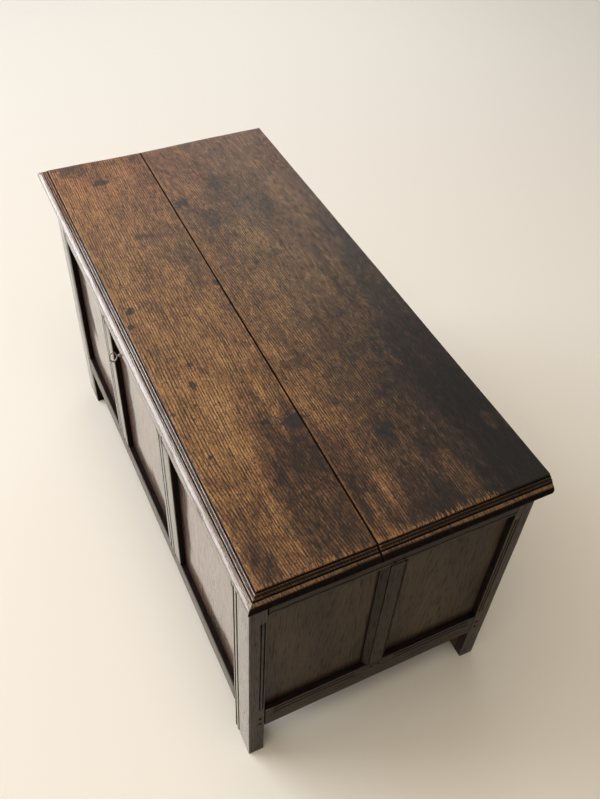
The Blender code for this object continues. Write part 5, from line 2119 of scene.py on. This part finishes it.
@dataclass(frozen=True)
class Lamp:
    """A soft square light: its place, what it faces, its sides' length, its watts and its colour."""

    name: str
    place: Triple
    aim: Triple
    size: float
    power: float
    colour: Triple

    def hang(self) -> None:
        """Hangs the light, out of the camera's sight."""
        light = bpy.data.lights.new(self.name, "AREA")
        light.size = self.size
        light.energy = self.power
        light.color = self.colour
        thing = bpy.data.objects.new(self.name, light)
        thing.location = self.place
        thing.rotation_euler = (Vector(self.aim) - Vector(self.place)).to_track_quat("-Z", "Y").to_euler()
        thing.visible_camera = False
        bpy.context.collection.objects.link(thing)


@dataclass
class Studio:
    """The plain floor, the soft lights and the camera."""

    floor_colour: Triple = (0.80, 0.78, 0.75)
    floor_roughness: float = 0.65
    floor_size: float = 60.0
    floor_drop: float = 0.0004
    floor_fade: Pair = (2.5, 6.0)
    backdrop: Triple = (0.74, 0.71, 0.66)
    glow: Triple = (1.0, 0.86, 0.68)
    glow_strength: float = 0.22
    seen_by: tuple[str, ...] = ("Is Camera Ray", "Is Glossy Ray", "Is Transmission Ray")
    lamps: tuple[Lamp, ...] = (
        Lamp("window", (-4.6, -4.8, 3.5), (0.0, 0.0, 0.3), 6.4, 600.0, (0.94, 0.97, 1.0)),
        Lamp("ceiling", (0.6, -1.2, 4.3), (0.5, -0.6, 0.0), 3.4, 120.0, (1.0, 0.86, 0.66)),
        Lamp("far wall", (-2.9, 1.6, 1.8), (-0.2, 0.0, 0.6), 2.0, 14.0, (1.0, 1.0, 1.0)),
    )
    camera_place: Triple = (1.0681, -0.4684, 1.6239)
    camera_aim: Triple = (0.0007, 0.1100, 0.318)
    camera_roll: float = 0.0659
    lens: float = 37.70
    film: float = 36.0

    def build(self) -> None:
        """Sets up the whole studio."""
        self.build_floor()
        self.build_world()
        for lamp in self.lamps:
            lamp.hang()
        self.build_camera()

    def build_floor(self) -> None:
        """Lays the floor, which fades into the backdrop far away."""
        clear_bench()
        bpy.ops.mesh.primitive_plane_add(size=self.floor_size, location=(0.0, 0.0, -self.floor_drop))
        floor = bpy.context.active_object
        floor.name = "studio_floor"
        bench = NodeBench.material("pale floor")
        bench.inputs()["Base Color"].default_value = rgba(self.floor_colour)
        bench.inputs()["Roughness"].default_value = self.floor_roughness
        far = bench.step(bench.vector("LENGTH", bench.place()), *self.floor_fade)
        haze = bench.node("ShaderNodeEmission", {"Color": rgba(self.backdrop), "Strength": 1.0})
        lit = bench.tree.nodes["Principled BSDF"]
        blend = bench.node("ShaderNodeMixShader", {0: bench.times(far, self.seen(bench)), 1: lit.outputs[0],
                                                   2: haze.outputs[0]})
        bench.feed(bench.inputs("Material Output")["Surface"], blend.outputs[0])
        floor.data.materials.append(bench.owner)

    def seen(self, bench: NodeBench) -> Socket:
        """Gives whether a ray is one that shows the backdrop."""
        rays = bench.node("ShaderNodeLightPath", {}).outputs
        return bench.most(*(rays[ray] for ray in self.seen_by))

    def build_world(self) -> None:
        """Sets the warm glow of the room, behind which the plain backdrop is seen."""
        world = bpy.data.worlds.new("studio")
        bench = NodeBench(world)
        bench.inputs("Background")["Color"].default_value = rgba(self.glow)
        bench.inputs("Background")["Strength"].default_value = self.glow_strength
        glow = bench.tree.nodes["Background"]
        plain = bench.node("ShaderNodeBackground", {"Color": rgba(self.backdrop)})
        pick = bench.node("ShaderNodeMixShader", {0: self.seen(bench), 1: glow.outputs[0], 2: plain.outputs[0]})
        bench.feed(bench.inputs("World Output")["Surface"], pick.outputs[0])
        bpy.context.scene.world = world

    def build_camera(self) -> None:
        """Sets the camera at the photograph's view."""
        place, aim = Vector(self.camera_place), Vector(self.camera_aim)
        forward = (aim - place).normalized()
        right = forward.cross(Axis.Z.vector()).normalized()
        up = right.cross(forward)
        cosine, sine = math.cos(self.camera_roll), math.sin(self.camera_roll)
        across = right * cosine + up * sine
        upward = up * cosine - right * sine
        lens = bpy.data.cameras.new("camera")
        lens.sensor_fit = "VERTICAL"
        lens.sensor_height = self.film
        lens.lens = self.lens
        camera = bpy.data.objects.new("camera", lens)
        turn = Matrix((across, upward, -forward)).transposed().to_4x4()
        camera.matrix_world = Matrix.Translation(place) @ turn
        bpy.context.collection.objects.link(camera)
        bpy.context.scene.camera = camera
        bpy.context.scene.view_settings.view_transform = "Standard"


def main() -> None:
    """Builds the coffer's pieces in order."""
    logging.basicConfig(level=logging.INFO, format="%(name)s: %(message)s")
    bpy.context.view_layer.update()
    Studio().build()
    Carcase().build()
    Lid().build()
    Ironwork().build()


if __name__ == "__main__":
    main()
